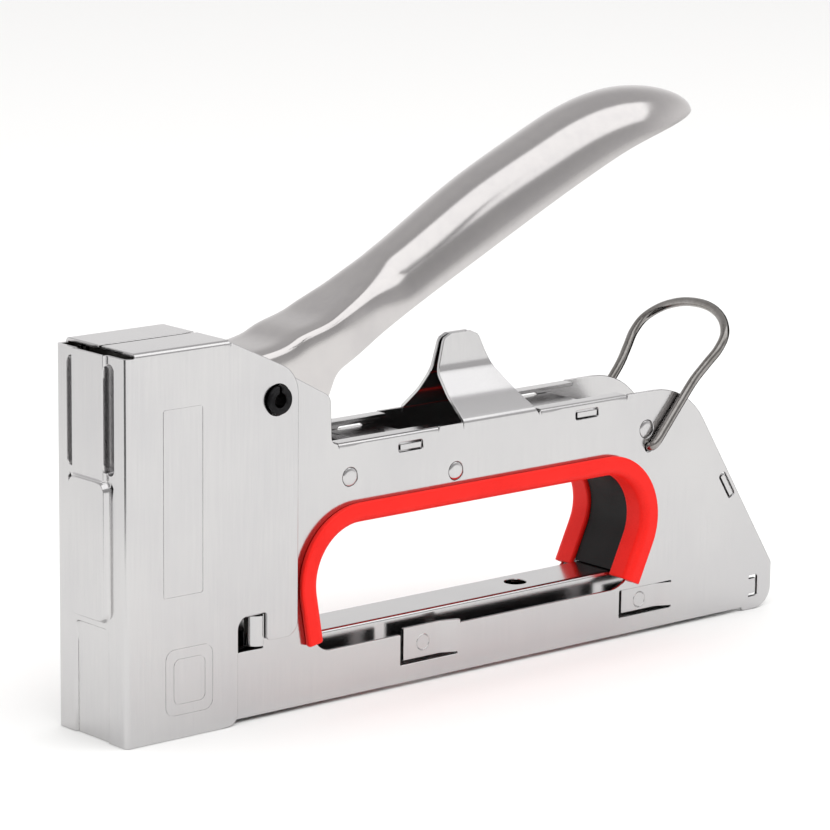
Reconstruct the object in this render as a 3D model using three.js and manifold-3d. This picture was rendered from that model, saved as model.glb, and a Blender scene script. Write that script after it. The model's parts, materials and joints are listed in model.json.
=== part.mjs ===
// Hand staple gun: a spring-driven tacker with a squeeze handle, built as separate pieces.
// Millimetres, +Z up. Lengths along X are first counted from the nose columns (X = 0) towards the
// rear, and the whole model is moved at the end so that its origin is the centre of its base.
import * as THREE from 'three';
import { mergeVertices } from 'three/addons/utils/BufferGeometryUtils.js';
import Module from 'manifold-3d';

const wasm = await Module();
wasm.setup();

// ---------------------------------------------------------------- driving dimensions
const BODY_LENGTH = 204.6;          // nose columns to the rear edge of the side plates
const BODY_WIDTH = 26;              // outside the nose cover
const NOSE_HEIGHT = 89.4;           // nose foot to the top of the cover flaps
const SHEET = 1.0;                  // steel of the cover and the side plates
const STRAP = 1.4;                  // thicker strip: bridges, rear cover and plunger
const FIT = 0.3;                    // clearance between pieces that lie against each other
const BACK_HEIGHT = 61.5;           // top edge of the side plates behind the pivot
const PLATE_LIFT = 0.9;             // side plates stand this far off the work, on their rear feet

const PIVOT_X = 42.3;               // handle pivot behind the nose columns
const PIVOT_DROP = 14.9;            // handle pivot below the top of the nose
const PIN_RADIUS = 3.35;
const PIN_BORE = 1.7;
const PIN_PROUD = 1.3;
const PIN_SLIT = 0.7;

const OPENING_TOP = 42.2;           // free edge of the grip trims
const OPENING_BOTTOM = 12.7;        // lower edge of the hole in the side plates
const OPENING_FRONT = 51.9;         // upper front corner of the grip contour, before rounding
const OPENING_REAR_GAP = 40.2;      // upper rear corner of the grip contour, from the rear edge
const TRIM_LEG = 5.1;               // width of the trim on the outside of the plate
const TRIM_WALL = 1.4;
const TRIM_PROUD = 2.0;             // trim stands this far out from the side plate
const TRIM_REACH = 4.7;             // trim reaches this far in from the side plate's outer face
const LINER_SUNK = 0.8;
const LINER_WALL = 2.2;

const CHANNEL_WIDTH = 13;           // magazine channel, outside
const CHANNEL_TOP = 16;
const CHANNEL_SHEET = 0.7;
const CHANNEL_FOOT = 2.4;
const CORE_WIDTH = 9.8;             // staples straddle the core
const CORE_TOP = 11.4;
const CORE_SHEET = 0.8;

const BLADE_WIDTH = 11.2;
const BLADE_THICKNESS = 0.8;
const BLADE_FOOT = 1.2;
const BLADE_TOP = 44;
const BLADE_RIVET = 1.4;            // shank radius
const SPRING_WIRE = 2.4;
const SPRING_DIAMETER = 13.8;       // main spring, outside
const SPRING_TURNS = 10;
const PLUNGER_FOOT = 30;            // underside of the plunger with the handle released

const ARM_LENGTH = 38;              // pivot to the centre of the lift arm's nose
const ARM_NOSE = 2.2;
const SQUEEZE_ANGLE = 18;           // handle travel, split evenly about the level arm
const ARM_SHEET = 1.0;
const BUSH_WALL = 0.9;

const HANDLE_REACH = 139;           // pivot to the tip, measured level
const HANDLE_HALF_WIDTH = 10.3;
const HANDLE_SHEET = 1.2;

const BAIL_WIRE = 1.15;             // radius
const BAIL_LENGTH = 41.5;           // foot axis to the middle of the top bar
const BAIL_TILT = 49;               // degrees above the rearward horizontal
const BAIL_FOOT_GAP = 44.2;         // foot axis from the rear edge
const BAIL_FOOT_Z = 47.5;

const RELEASE_PIN = 0.9;            // radius of the release lever's pin
const RELEASE_SETBACK = 10;         // release pin from the rear edge
const RELEASE_Z = 10;

// ---------------------------------------------------------------- derived places
const COVER_OUT = BODY_WIDTH / 2;
const COVER_IN = COVER_OUT - SHEET;
const PLATE_OUT = COVER_IN - FIT;
const PLATE_IN = PLATE_OUT - SHEET;
const BETWEEN = PLATE_IN - FIT;     // half width of what stands between the side plates
const PIVOT_Z = NOSE_HEIGHT - PIVOT_DROP;
const OPENING_REAR = BODY_LENGTH - OPENING_REAR_GAP;
const BAIL_X = BODY_LENGTH - BAIL_FOOT_GAP;
const COVER_ROOF = NOSE_HEIGHT - SHEET;
const NOSE_PAD_PROUD = 2.0;         // raised pads on the nose's front wall
const RECESS_DEPTH = 1.0;           // sunk panel at the nose's foot
const BLADE_FRONT = RECESS_DEPTH + SHEET + FIT + 0.1;
const BLADE_BACK = BLADE_FRONT + BLADE_THICKNESS;
const PLUNGER_FRONT = BLADE_BACK + FIT;
const PLUNGER_BACK = PLUNGER_FRONT + STRAP;
const SPRING_RADIUS = SPRING_DIAMETER / 2;
const SPRING_X = PLUNGER_BACK + FIT + SPRING_RADIUS;
const SPRING_REAR = SPRING_X + SPRING_RADIUS;
const BUSH_RADIUS = PIN_RADIUS + FIT + BUSH_WALL;
const RELEASE_X = BODY_LENGTH - RELEASE_SETBACK;
const CHANNEL_OUT = CHANNEL_WIDTH / 2;
const CHANNEL_IN = CHANNEL_OUT - CHANNEL_SHEET;
const CHANNEL_FRONT = BLADE_BACK + FIT;

// ---------------------------------------------------------------- outlines
// A corner is [a, b] or [a, b, radius]; arcs take one step for each ARC_STEP of turning.
const ARC_STEP = 15;
const radians = degrees => degrees * Math.PI / 180;

function roundCorner(before, corner, after) {
  const [x, y, radius = 0] = corner;
  if (!radius) return [[x, y]];
  const toBefore = new THREE.Vector2(before[0] - x, before[1] - y);
  const toAfter = new THREE.Vector2(after[0] - x, after[1] - y);
  // An arc may use almost all of an edge, or half of it where the next corner is round too.
  const room = (edge, neighbour) => edge.length() * (neighbour[2] ? 0.49 : 0.98);
  const reach = Math.min(room(toBefore, before), room(toAfter, after));
  toBefore.normalize();
  toAfter.normalize();
  const half = Math.acos(THREE.MathUtils.clamp(toBefore.dot(toAfter), -1, 1)) / 2;
  const tangent = Math.min(radius / Math.tan(half), reach);
  const used = tangent * Math.tan(half);
  const bisector = toBefore.clone().add(toAfter).normalize();
  const centre = new THREE.Vector2(x, y).addScaledVector(bisector, used / Math.sin(half));
  const start = new THREE.Vector2(x, y).addScaledVector(toBefore, tangent).sub(centre);
  const end = new THREE.Vector2(x, y).addScaledVector(toAfter, tangent).sub(centre);
  let turn = end.angle() - start.angle();
  if (turn > Math.PI) turn -= 2 * Math.PI;
  if (turn < -Math.PI) turn += 2 * Math.PI;
  const steps = Math.max(2, Math.ceil(Math.abs(turn) / radians(ARC_STEP)));
  return Array.from({ length: steps + 1 }, (_, i) => {
    const point = start.clone().rotateAround(new THREE.Vector2(), turn * i / steps).add(centre);
    return [point.x, point.y];
  });
}

function roundedOutline(corners) {
  const count = corners.length;
  return corners.flatMap((corner, i) =>
    roundCorner(corners[(i + count - 1) % count], corner, corners[(i + 1) % count]));
}

function roundedPath(corners) {
  return corners.flatMap((corner, i) => {
    if (i === 0 || i === corners.length - 1) return [[corner[0], corner[1]]];
    return roundCorner(corners[i - 1], corner, corners[i + 1]);
  });
}

const box = (a0, a1, b0, b1) => [[a0, b0], [a1, b0], [a1, b1], [a0, b1]];

// Moves an open path of points sideways, to the left of its direction.
function shiftPath(points, distance) {
  return points.map((point, i) => {
    const before = points[Math.max(i - 1, 0)];
    const after = points[Math.min(i + 1, points.length - 1)];
    const first = new THREE.Vector2(point[0] - before[0], point[1] - before[1]).normalize();
    const second = new THREE.Vector2(after[0] - point[0], after[1] - point[1]).normalize();
    const along = first.add(second).normalize();
    const segment = new THREE.Vector2(after[0] - point[0], after[1] - point[1]).normalize();
    const straight = i === 0 || i === points.length - 1;
    const widen = straight ? 1 : 1 / Math.max(along.dot(segment), 0.5);
    return [point[0] - along.y * distance * widen, point[1] + along.x * distance * widen];
  });
}

// ---------------------------------------------------------------- solids
function toSolid(geometry) {
  const bare = geometry.clone();
  bare.deleteAttribute('normal');
  bare.deleteAttribute('uv');
  const merged = mergeVertices(bare, 1e-4);
  return new wasm.Manifold(new wasm.Mesh({
    numProp: 3,
    vertProperties: new Float32Array(merged.attributes.position.array),
    triVerts: new Uint32Array(merged.index.array),
  }));
}

function toGeometry(solid) {
  const mesh = solid.getMesh();
  const geometry = new THREE.BufferGeometry();
  geometry.setAttribute('position', new THREE.BufferAttribute(mesh.vertProperties, 3));
  geometry.setIndex(new THREE.BufferAttribute(mesh.triVerts, 1));
  geometry.computeVertexNormals();
  return geometry;
}

const X_AXIS = new THREE.Vector3(1, 0, 0);
const Y_AXIS = new THREE.Vector3(0, 1, 0);
const Z_AXIS = new THREE.Vector3(0, 0, 1);
// Plane of an outline and the direction that it is drawn out in.
const FRAMES = {
  x: [Y_AXIS, Z_AXIS, X_AXIS],
  y: [X_AXIS, Z_AXIS, Y_AXIS.clone().negate()],
  z: [X_AXIS, Y_AXIS, Z_AXIS],
};

// Draws a rounded outline out along an axis, from one value to another.
function prism(along, corners, from, to) {
  const low = Math.min(from, to);
  const high = Math.max(from, to);
  const shape = new THREE.Shape(roundedOutline(corners).map(([a, b]) => new THREE.Vector2(a, b)));
  const geometry = new THREE.ExtrudeGeometry(shape, { depth: high - low, bevelEnabled: false });
  geometry.applyMatrix4(new THREE.Matrix4().makeBasis(...FRAMES[along]));
  const start = along === 'y' ? high : low;
  const shift = along === 'x' ? X_AXIS : along === 'y' ? Y_AXIS : Z_AXIS;
  geometry.translate(shift.x * start, shift.y * start, shift.z * start);
  return toSolid(geometry);
}

function circle(a, b, radius, sides = 24) {
  return Array.from({ length: sides }, (_, i) => {
    const angle = 2 * Math.PI * (i + 0.5) / sides;
    return [a + radius * Math.cos(angle), b + radius * Math.sin(angle)];
  });
}

const rod = (along, a, b, radius, from, to, sides) =>
  prism(along, circle(a, b, radius, sides), from, to);

const union = solids => solids.reduce((joined, solid) => joined.add(solid));
const cut = (solid, ...tools) => tools.reduce((left, tool) => left.subtract(tool), solid);
const mirrorY = solid => solid.mirror([0, 1, 0]);
const bothSides = solid => solid.add(mirrorY(solid));

// A strip of even thickness that follows a path in the XZ plane.
function strip(points, inner, outer, y0, y1) {
  const outline = [...shiftPath(points, inner), ...shiftPath(points, outer).reverse()];
  return prism('y', outline, y0, y1);
}

// A round wire along a curve.
function wire(points, radius, sides, steps) {
  const curve = new THREE.CatmullRomCurve3(points.map(point => new THREE.Vector3(...point)));
  const section = new THREE.Shape(circle(0, 0, radius, sides).map(([a, b]) =>
    new THREE.Vector2(a, b)));
  return toSolid(new THREE.ExtrudeGeometry(section, { steps, extrudePath: curve }));
}

// A round-wire helix about an axis parallel to X or Z, between the two flats it seats on.
class Helix extends THREE.Curve {
  constructor(radius, turns, length) {
    super();
    Object.assign(this, { radius, turns, length });
  }

  getPoint(share, target = new THREE.Vector3()) {
    const angle = 2 * Math.PI * this.turns * share;
    return target.set(this.radius * Math.cos(angle), this.radius * Math.sin(angle),
      this.length * share);
  }
}

function coil(outerDiameter, wireRadius, turns, low, high, stepsPerTurn) {
  const radius = outerDiameter / 2 - wireRadius;
  const helix = new Helix(radius, turns, high - low - 2 * wireRadius);
  const section = new THREE.Shape(circle(0, 0, wireRadius, 6).map(([a, b]) =>
    new THREE.Vector2(a, b)));
  const steps = Math.round(turns * stepsPerTurn);
  const geometry = new THREE.ExtrudeGeometry(section, { steps, extrudePath: helix });
  geometry.translate(0, 0, low + wireRadius);
  return geometry;
}

// ---------------------------------------------------------------- nose cover
const SEAM_X = 48.4;                // rear edge of the cover, behind the pivot
const FLAP_END = 28.8;
const COVER_SLOPE = 0.469;
const COVER_FOOT_LENGTH = 31;
const COVER_SKIRT = 18.5;
const NOTCH_TOP = 25.3;
const NOTCH_REAR = 39.5;
const coverSlopeZ = x => NOSE_HEIGHT - (x - FLAP_END) * COVER_SLOPE;

const coverSide = [
  [0, 0], [COVER_FOOT_LENGTH, 0, 3], [COVER_FOOT_LENGTH, NOTCH_TOP, 3],
  [NOTCH_REAR, NOTCH_TOP, 1], [NOTCH_REAR, COVER_SKIRT, 1], [SEAM_X, COVER_SKIRT, 3.5],
  [SEAM_X, coverSlopeZ(SEAM_X), 8], [FLAP_END, NOSE_HEIGHT], [0, NOSE_HEIGHT],
];
const COLUMN_PROUD = 0.6;           // the front's two columns, beside the pads
const PANEL_HALF = 6;
const PANEL_PROUD = 1.45;
const PAD_HALF = 6.8;
const GROOVE_OUT = 8.7;             // the two long grooves beside the upper panel
const UPPER_PAD_FOOT = 61;
const UPPER_PAD_TOP = NOSE_HEIGHT - 1.6;
const MIDDLE_PAD_FOOT = 28;
const RECESS_HALF = 6.3;

function sunkPad(half, foot, top, proud, corner) {
  const outside = prism('x', [[-half, foot, corner], [half, foot, corner], [half, top, 1],
    [-half, top, 1]], -proud, SHEET);
  return { outside, hollow: prism('x', box(-half + SHEET, half - SHEET, foot + SHEET,
    top - SHEET), SHEET - proud, SHEET + 1) };
}

function buildNoseCover() {
  const sides = bothSides(prism('y', coverSide, COVER_IN, COVER_OUT));
  const wall = prism('x', box(-COVER_OUT, COVER_OUT, 0, NOSE_HEIGHT - 1), 0, SHEET);
  const flap = prism('z', [[2.6, 0.15], [FLAP_END, 0.15], [FLAP_END, COVER_OUT],
    [2.6, COVER_OUT]], COVER_ROOF, NOSE_HEIGHT);
  const columns = bothSides(prism('x', box(GROOVE_OUT, COVER_OUT, 0, NOSE_HEIGHT - 1),
    -COLUMN_PROUD, SHEET));
  const upper = sunkPad(PANEL_HALF, UPPER_PAD_FOOT, UPPER_PAD_TOP, PANEL_PROUD, 1);
  const middle = sunkPad(PAD_HALF, MIDDLE_PAD_FOOT, UPPER_PAD_FOOT - 0.6, NOSE_PAD_PROUD, 3);
  const recessOut = prism('x', box(-RECESS_HALF, RECESS_HALF, -1, MIDDLE_PAD_FOOT),
    -1, RECESS_DEPTH);
  const recessWall = prism('x', box(-RECESS_HALF - SHEET, RECESS_HALF + SHEET, 0,
    MIDDLE_PAD_FOOT + SHEET), SHEET / 2, RECESS_DEPTH + SHEET);
  const grooves = bothSides(prism('x', [[PANEL_HALF, UPPER_PAD_FOOT + 0.6],
    [GROOVE_OUT, UPPER_PAD_FOOT + 0.6], [GROOVE_OUT, UPPER_PAD_TOP, 0.8],
    [PANEL_HALF, UPPER_PAD_TOP, 0.6]], -1, 0.5));
  const pin = rod('y', PIVOT_X, PIVOT_Z, PIN_RADIUS + FIT, -COVER_OUT - 1, COVER_OUT + 1, 32);
  const shell = union([sides, wall, columns, bothSides(flap), upper.outside, middle.outside, recessWall]);
  return cut(shell, upper.hollow, middle.hollow, recessOut, grooves, pin);
}

// ---------------------------------------------------------------- side plates
const PLATE_FRONT = PLUNGER_BACK + 1;
const REAR_FOOT = 10.3;             // length of the rear feet
const SLANT_TOP_GAP = 24.5;         // where the slanted rear edge meets the rear's rounded top
const SLANT_TOP = 50.4;
const SLANT_FOOT = 11.4;
const slantX = z => BODY_LENGTH - SLANT_TOP_GAP * (z - SLANT_FOOT) / (SLANT_TOP - SLANT_FOOT);
const SHOULDER_X = 58.9;            // rear edge of the raised front part of the plates
const FLANGE_WIDTH = 3;

const gripCorners = [
  [OPENING_FRONT + 4.5, 15.8], [OPENING_FRONT, OPENING_TOP, 13],
  [OPENING_REAR, OPENING_TOP, 12], [OPENING_REAR - 12.5, 15.4],
];
const gripPath = roundedPath(gripCorners);
const trimEdge = TRIM_WALL + FIT;
const openingEdge = shiftPath(gripPath, trimEdge);
const plateOpening = [
  ...openingEdge,
  ...roundedPath([openingEdge.at(-1), [OPENING_REAR - 13, OPENING_BOTTOM, 12],
    [OPENING_FRONT + 4.5, OPENING_BOTTOM, 8], openingEdge[0]]).slice(1, -1),
];

const plateOutline = [
  [PLATE_FRONT, PLATE_LIFT], [BODY_LENGTH - REAR_FOOT, PLATE_LIFT],
  [BODY_LENGTH - REAR_FOOT + 0.6, 0], [BODY_LENGTH, 0, 5.5], [BODY_LENGTH, SLANT_FOOT, 1.5],
  [slantX(BACK_HEIGHT), BACK_HEIGHT, 20], [SHOULDER_X + 0.4, BACK_HEIGHT, 2.5],
  [SHOULDER_X, PIVOT_Z - 1.5, 3], [40, coverSlopeZ(40) - 0.9],
  [FLAP_END + 1.2, COVER_ROOF - FIT - 0.7], [PLATE_FRONT, COVER_ROOF - FIT - 0.7],
];

const HUMP_FRONT = 99.6;
const HUMP_TOP = 80.8;
const humpSide = [
  [HUMP_FRONT, BACK_HEIGHT - 1], [HUMP_FRONT + 0.4, HUMP_TOP - 9], [HUMP_FRONT + 2.8, HUMP_TOP, 2],
  [HUMP_FRONT + 12.9, HUMP_TOP, 1.6], [HUMP_FRONT + 15.2, HUMP_TOP - 5],
  [HUMP_FRONT + 24, BACK_HEIGHT - 1],
];
// The stop tab leans in from the plate, then stands up on the centre line.
function humpProfile() {
  const outer = [[PLATE_OUT, BACK_HEIGHT - 1], [PLATE_OUT - 0.2, BACK_HEIGHT + 0.4],
    [5.7, BACK_HEIGHT + 5.6], [1.9, BACK_HEIGHT + 10.6], [1.25, HUMP_TOP + 1]];
  const inner = [[0.2, HUMP_TOP + 1], [0.7, BACK_HEIGHT + 10.4], [4.9, BACK_HEIGHT + 4.8],
    [PLATE_IN - 0.2, BACK_HEIGHT - 0.2], [PLATE_IN, BACK_HEIGHT - 1]];
  return [...outer, ...inner];
}

// Stretches of the top edge that are folded in, before and behind the stop tab.
const topFlanges = [[SHOULDER_X + 2.5, HUMP_FRONT - 7.8], [HUMP_FRONT + 24.4, BODY_LENGTH - 52]];

const BRIDGE_LENGTH = 15;
const BRIDGE_TAB = 6.4;
const bridges = [
  { name: 'front_bridge', x: 83.2, z: BACK_HEIGHT - 3.4 },
  { name: 'rear_bridge', x: BODY_LENGTH - 65.2, z: BACK_HEIGHT - 3.0 },
];
const RIVET_RADIUS = 2.15;
const RIVET_BODY = 3;
const RIVET_HEAD = 0.15;            // how far a rivet's head stands out from the plate
const rivets = [
  { name: 'front_rivet', x: 64.8, z: OPENING_TOP + 11 },
  { name: 'middle_rivet', x: 97.3, z: OPENING_TOP + 7.9 },
  { name: 'rear_rivet', x: BODY_LENGTH - 45.1, z: OPENING_TOP + 9.8 },
];
const lances = [
  { front: 80.6, length: 17.9, top: OPENING_BOTTOM + 1, open: true },
  { front: BODY_LENGTH - 53.2, length: 17.9, top: OPENING_BOTTOM - 0.6, open: false },
];
const LANCE_FOOT = 5.2;
const tailSlot = box(BODY_LENGTH - 7.4, BODY_LENGTH - 5, 3.6, 8.6);
const noseWindow = box(COVER_FOOT_LENGTH + 0.5, NOTCH_REAR - 1, CHANNEL_TOP + 0.6, NOTCH_TOP - 0.6);
const REAR_SLOT_Z = 33.9;
const REAR_COVER_HALF = 18;
const SLANT_ANGLE = Math.atan2(SLANT_TOP_GAP, SLANT_TOP - SLANT_FOOT);
const REAR_COVER_INSET = 2.1;

// A point on a line parallel to the slanted rear edge, inset from it.
function besideSlant(z, inset) {
  return [slantX(z) - inset / Math.cos(SLANT_ANGLE), z];
}

function slantedBox(z, inset, halfLength, halfThickness) {
  const [x] = besideSlant(z, inset);
  const along = [-Math.sin(SLANT_ANGLE), Math.cos(SLANT_ANGLE)];
  const across = [along[1], -along[0]];
  return [[-1, -1], [1, -1], [1, 1], [-1, 1]].map(([a, b]) => [
    x + a * halfThickness * across[0] + b * halfLength * along[0],
    z + a * halfThickness * across[1] + b * halfLength * along[1]]);
}

// The tongue of a lance runs against the magazine channel and ramps back into the plate.
function lanceTongue({ front, length, top }) {
  const pressedOut = CHANNEL_OUT + FIT + SHEET;
  const pressedIn = CHANNEL_OUT + FIT;
  const rear = front + length;
  return prism('z', [[front + 0.5, pressedIn], [rear - 7, pressedIn], [rear + 0.6, PLATE_IN],
    [rear + 0.6, PLATE_OUT], [rear - 0.6, PLATE_OUT], [rear - 7.4, pressedOut],
    [front + 0.5, pressedOut]], LANCE_FOOT + 0.5, top - (top < OPENING_BOTTOM ? 0.4 : 1));
}

function buildSidePlate() {
  const sheet = prism('y', plateOutline, PLATE_IN, PLATE_OUT);
  const hump = prism('y', humpSide, 0.2, PLATE_OUT)
    .intersect(prism('x', humpProfile(), HUMP_FRONT - 2, HUMP_FRONT + 26));
  const flanges = topFlanges.map(([front, rear]) => prism('z', [
    [front, PLATE_IN - FLANGE_WIDTH, 1], [rear, PLATE_IN - FLANGE_WIDTH, 1],
    [rear, PLATE_OUT], [front, PLATE_OUT]], BACK_HEIGHT - SHEET, BACK_HEIGHT));
  const through = [PLATE_IN - 1, PLATE_OUT + 1];
  const holes = [
    rod('y', PIVOT_X, PIVOT_Z, PIN_RADIUS + FIT, ...through, 32),
    ...rivets.map(({ x, z }) => rod('y', x, z, RIVET_RADIUS + FIT, ...through)),
    rod('y', BAIL_X, BAIL_FOOT_Z, BAIL_WIRE + FIT, ...through, 16),
    ...bridges.map(({ x, z }) => prism('y', box(x - BRIDGE_TAB / 2 - FIT, x + BRIDGE_TAB / 2 + FIT,
      z - STRAP / 2 - FIT, z + STRAP / 2 + FIT), ...through)),
    prism('y', slantedBox(REAR_SLOT_Z, REAR_COVER_INSET, BRIDGE_TAB / 2 + FIT, STRAP / 2 + FIT),
      ...through),
    prism('y', tailSlot, ...through),
    prism('y', noseWindow, ...through),
    prism('y', plateOpening, ...through),
    ...lances.map(({ front, length, top, open }) => prism('y',
      box(front, front + length, LANCE_FOOT, open ? top + 1 : top), ...through)),
  ];
  const flat = cut(union([sheet, ...flanges]), ...holes);
  return union([flat, hump, ...lances.map(lanceTongue)]);
}

// ---------------------------------------------------------------- grip trims and liner
function buildGripTrim() {
  const lip = strip(gripPath, 0, TRIM_LEG, PLATE_OUT + FIT, PLATE_OUT + TRIM_PROUD);
  const web = strip(gripPath, 0, TRIM_WALL, PLATE_OUT - TRIM_REACH, PLATE_OUT + TRIM_PROUD);
  const inside = strip(gripPath, 0, TRIM_LEG - 1, BETWEEN - TRIM_WALL, BETWEEN);
  const channelRoom = prism('x', box(0, CHANNEL_OUT + FIT, 0, CHANNEL_TOP + FIT), 0, BODY_LENGTH);
  return cut(union([lip, web, inside]), channelRoom);
}

function buildGripLiner() {
  const half = PLATE_OUT - TRIM_REACH - FIT;
  const wingOut = BETWEEN - TRIM_WALL - FIT;
  const middle = strip(gripPath, LINER_SUNK, LINER_SUNK + LINER_WALL, -half, half);
  const wings = strip(gripPath, trimEdge, LINER_SUNK + LINER_WALL, -wingOut, wingOut);
  const below = prism('y', box(0, BODY_LENGTH, -1, CHANNEL_TOP + FIT), -BODY_WIDTH, BODY_WIDTH);
  return cut(union([middle, wings]), below);
}

// ---------------------------------------------------------------- pieces between the plates
function buildBridge({ x, z }) {
  const plate = box(x - BRIDGE_LENGTH / 2, x + BRIDGE_LENGTH / 2, -BETWEEN, BETWEEN);
  const tabs = box(x - BRIDGE_TAB / 2, x + BRIDGE_TAB / 2, -PLATE_OUT, PLATE_OUT);
  return union([plate, tabs].map(outline => prism('z', outline, z - STRAP / 2, z + STRAP / 2)));
}

function buildRivet({ x, z }) {
  const shank = rod('y', x, z, RIVET_RADIUS, -PLATE_OUT - RIVET_HEAD, PLATE_OUT + RIVET_HEAD);
  const body = rod('y', x, z, RIVET_BODY, -BETWEEN, BETWEEN);
  return union([shank, body]);
}

function buildRearCover() {
  const slab = halfLength => slantedBox(REAR_SLOT_Z, REAR_COVER_INSET, halfLength, STRAP / 2);
  return union([
    prism('y', slab(REAR_COVER_HALF), -BETWEEN, BETWEEN),
    prism('y', slab(BRIDGE_TAB / 2), -PLATE_OUT, PLATE_OUT),
  ]);
}

function buildPivotPin() {
  const length = COVER_OUT + PIN_PROUD;
  const body = rod('y', PIVOT_X, PIVOT_Z, PIN_RADIUS, -length, length, 32);
  const bore = rod('y', PIVOT_X, PIVOT_Z, PIN_BORE, -length - 1, length + 1, 16);
  const slit = prism('y', box(PIVOT_X - PIN_SLIT / 2, PIVOT_X + PIN_SLIT / 2, PIVOT_Z,
    PIVOT_Z + PIN_RADIUS + 1), -length - 1, length + 1);
  return cut(body, bore, slit);
}

// ---------------------------------------------------------------- magazine
const CHANNEL_REAR = BODY_LENGTH - 18;
const CHANNEL_HOLE_X = 127.2;
const CHANNEL_HOLE = 2.8;           // radius
const CORE_FRONT = CHANNEL_FRONT + 0.2;
const TAIL_FRONT = CHANNEL_REAR + 0.6;
const PUSHER_LENGTH = 16;
const GUIDE_ROD = 1.2;
const GUIDE_Z = 7.6;
const PUSHER_SPRING = 6.0;          // outside diameter
const PUSHER_WIRE = 0.4;
const PUSHER_TURNS = 22;

function inverted(half, top, foot, sheet, front, rear) {
  const outside = prism('x', [[-half, foot], [half, foot], [half, top, 1], [-half, top, 1]],
    front, rear);
  const inside = prism('x', [[-half + sheet, foot - 1], [half - sheet, foot - 1],
    [half - sheet, top - sheet, 0.5], [-half + sheet, top - sheet, 0.5]], front - 1, rear + 1);
  return cut(outside, inside);
}

function buildMagazineChannel() {
  const body = inverted(CHANNEL_OUT, CHANNEL_TOP, CHANNEL_FOOT, CHANNEL_SHEET, CHANNEL_FRONT,
    CHANNEL_REAR);
  const hole = rod('z', CHANNEL_HOLE_X, 0, CHANNEL_HOLE, CHANNEL_TOP - 2, CHANNEL_TOP + 1);
  return cut(body, hole);
}

function buildMagazineCore() {
  return inverted(CORE_WIDTH / 2, CORE_TOP, CHANNEL_FOOT - 0.5, CORE_SHEET, CORE_FRONT,
    TAIL_FRONT - FIT);
}

// The tail closes the magazine and slides out with it; it carries the guide rod and the release.
const TAIL_REAR = BODY_LENGTH - 7.9;
const TAIL_HALF = 6.2;
const TAIL_TOP = 13.6;
function buildMagazineTail() {
  const block = prism('y', [[TAIL_FRONT, 1.2, 0.6], [TAIL_REAR, 1.2, 1], [TAIL_REAR, 6],
    [TAIL_REAR - 5.6, TAIL_TOP, 1], [TAIL_FRONT, TAIL_TOP, 1]], -TAIL_HALF, TAIL_HALF);
  const socket = rod('x', 0, GUIDE_Z, GUIDE_ROD + FIT, TAIL_FRONT - 1, TAIL_FRONT + 4, 12);
  const leverSlot = prism('y', box(TAIL_FRONT + 5, TAIL_REAR + 1, 5, 15), -2.6, 2.6);
  const pinHole = rod('y', RELEASE_X, RELEASE_Z, RELEASE_PIN + FIT, -TAIL_HALF - 1, TAIL_HALF + 1,
    16);
  return cut(block, socket, leverSlot, pinHole);
}

function buildGuideRod() {
  return rod('x', 0, GUIDE_Z, GUIDE_ROD, CORE_FRONT + 3, TAIL_FRONT + 3.7, 12);
}

function buildPusher() {
  const crown = prism('x', [[-CHANNEL_IN + FIT, CORE_TOP + FIT], [CHANNEL_IN - FIT, CORE_TOP + FIT],
    [CHANNEL_IN - FIT, CORE_TOP + FIT + 1.2], [-CHANNEL_IN + FIT, CORE_TOP + FIT + 1.2]],
    CORE_FRONT + 0.6, CORE_FRONT + PUSHER_LENGTH);
  const legOut = CHANNEL_IN - FIT;
  const legIn = CORE_WIDTH / 2 + FIT;
  return union([crown, bothSides(prism('x', box(legIn, legOut, 4, CORE_TOP + 1),
    CORE_FRONT + 0.6, CORE_FRONT + PUSHER_LENGTH))]);
}

// ---------------------------------------------------------------- release lever on the tail
function buildReleaseLever() {
  const plate = prism('y', [[RELEASE_X - 1.8, RELEASE_Z - 2], [RELEASE_X + 1, RELEASE_Z - 2],
    [TAIL_REAR - 1.4, 5.6], [TAIL_REAR - 0.8, 6.8], [RELEASE_X + 2.2, RELEASE_Z + 2.4, 1],
    [RELEASE_X + 1, RELEASE_Z + 5.6, 1], [RELEASE_X - 1.8, RELEASE_Z + 5.6, 1]], -2.1, 2.1);
  return cut(plate, rod('y', RELEASE_X, RELEASE_Z, RELEASE_PIN + FIT, -4, 4, 16));
}

// ---------------------------------------------------------------- drive
const SHELF_REAR = SPRING_REAR + 1.1;
const SEAT_THICKNESS = 2.2;
const SEAT_TOP = COVER_ROOF - FIT;
const SEAT_FOOT = SEAT_TOP - SEAT_THICKNESS;
const EAR_THICKNESS = 1.5;
const EAR_REACH = 1.8;
const armRestZ = PIVOT_Z - ARM_LENGTH * Math.sin(radians(SQUEEZE_ANGLE / 2));
const armRestX = PIVOT_X - ARM_LENGTH * Math.cos(radians(SQUEEZE_ANGLE / 2));
const EAR_FOOT = armRestZ + ARM_NOSE + FIT;
const PLUNGER_HALF = SPRING_RADIUS + 0.1;
const EAR_HEIGHT = 3.2;
const BLADE_RIVET_Z = [PLUNGER_FOOT + 4.2, PLUNGER_FOOT + 11];
// The arm's cheeks run inside the handle's ears, then pass outside the main spring.
const CHEEK_OUT = HANDLE_HALF_WIDTH - HANDLE_SHEET - 0.5;
const CHEEK_IN = CHEEK_OUT - ARM_SHEET;
const FORK_IN = PLUNGER_HALF + 0.6;
const FORK_OUT = FORK_IN + ARM_SHEET;
const FORK_REAR = SPRING_REAR + 3.4;
const JOG_LENGTH = 6;
const EAR_OUT = FORK_OUT + 0.5;

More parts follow.
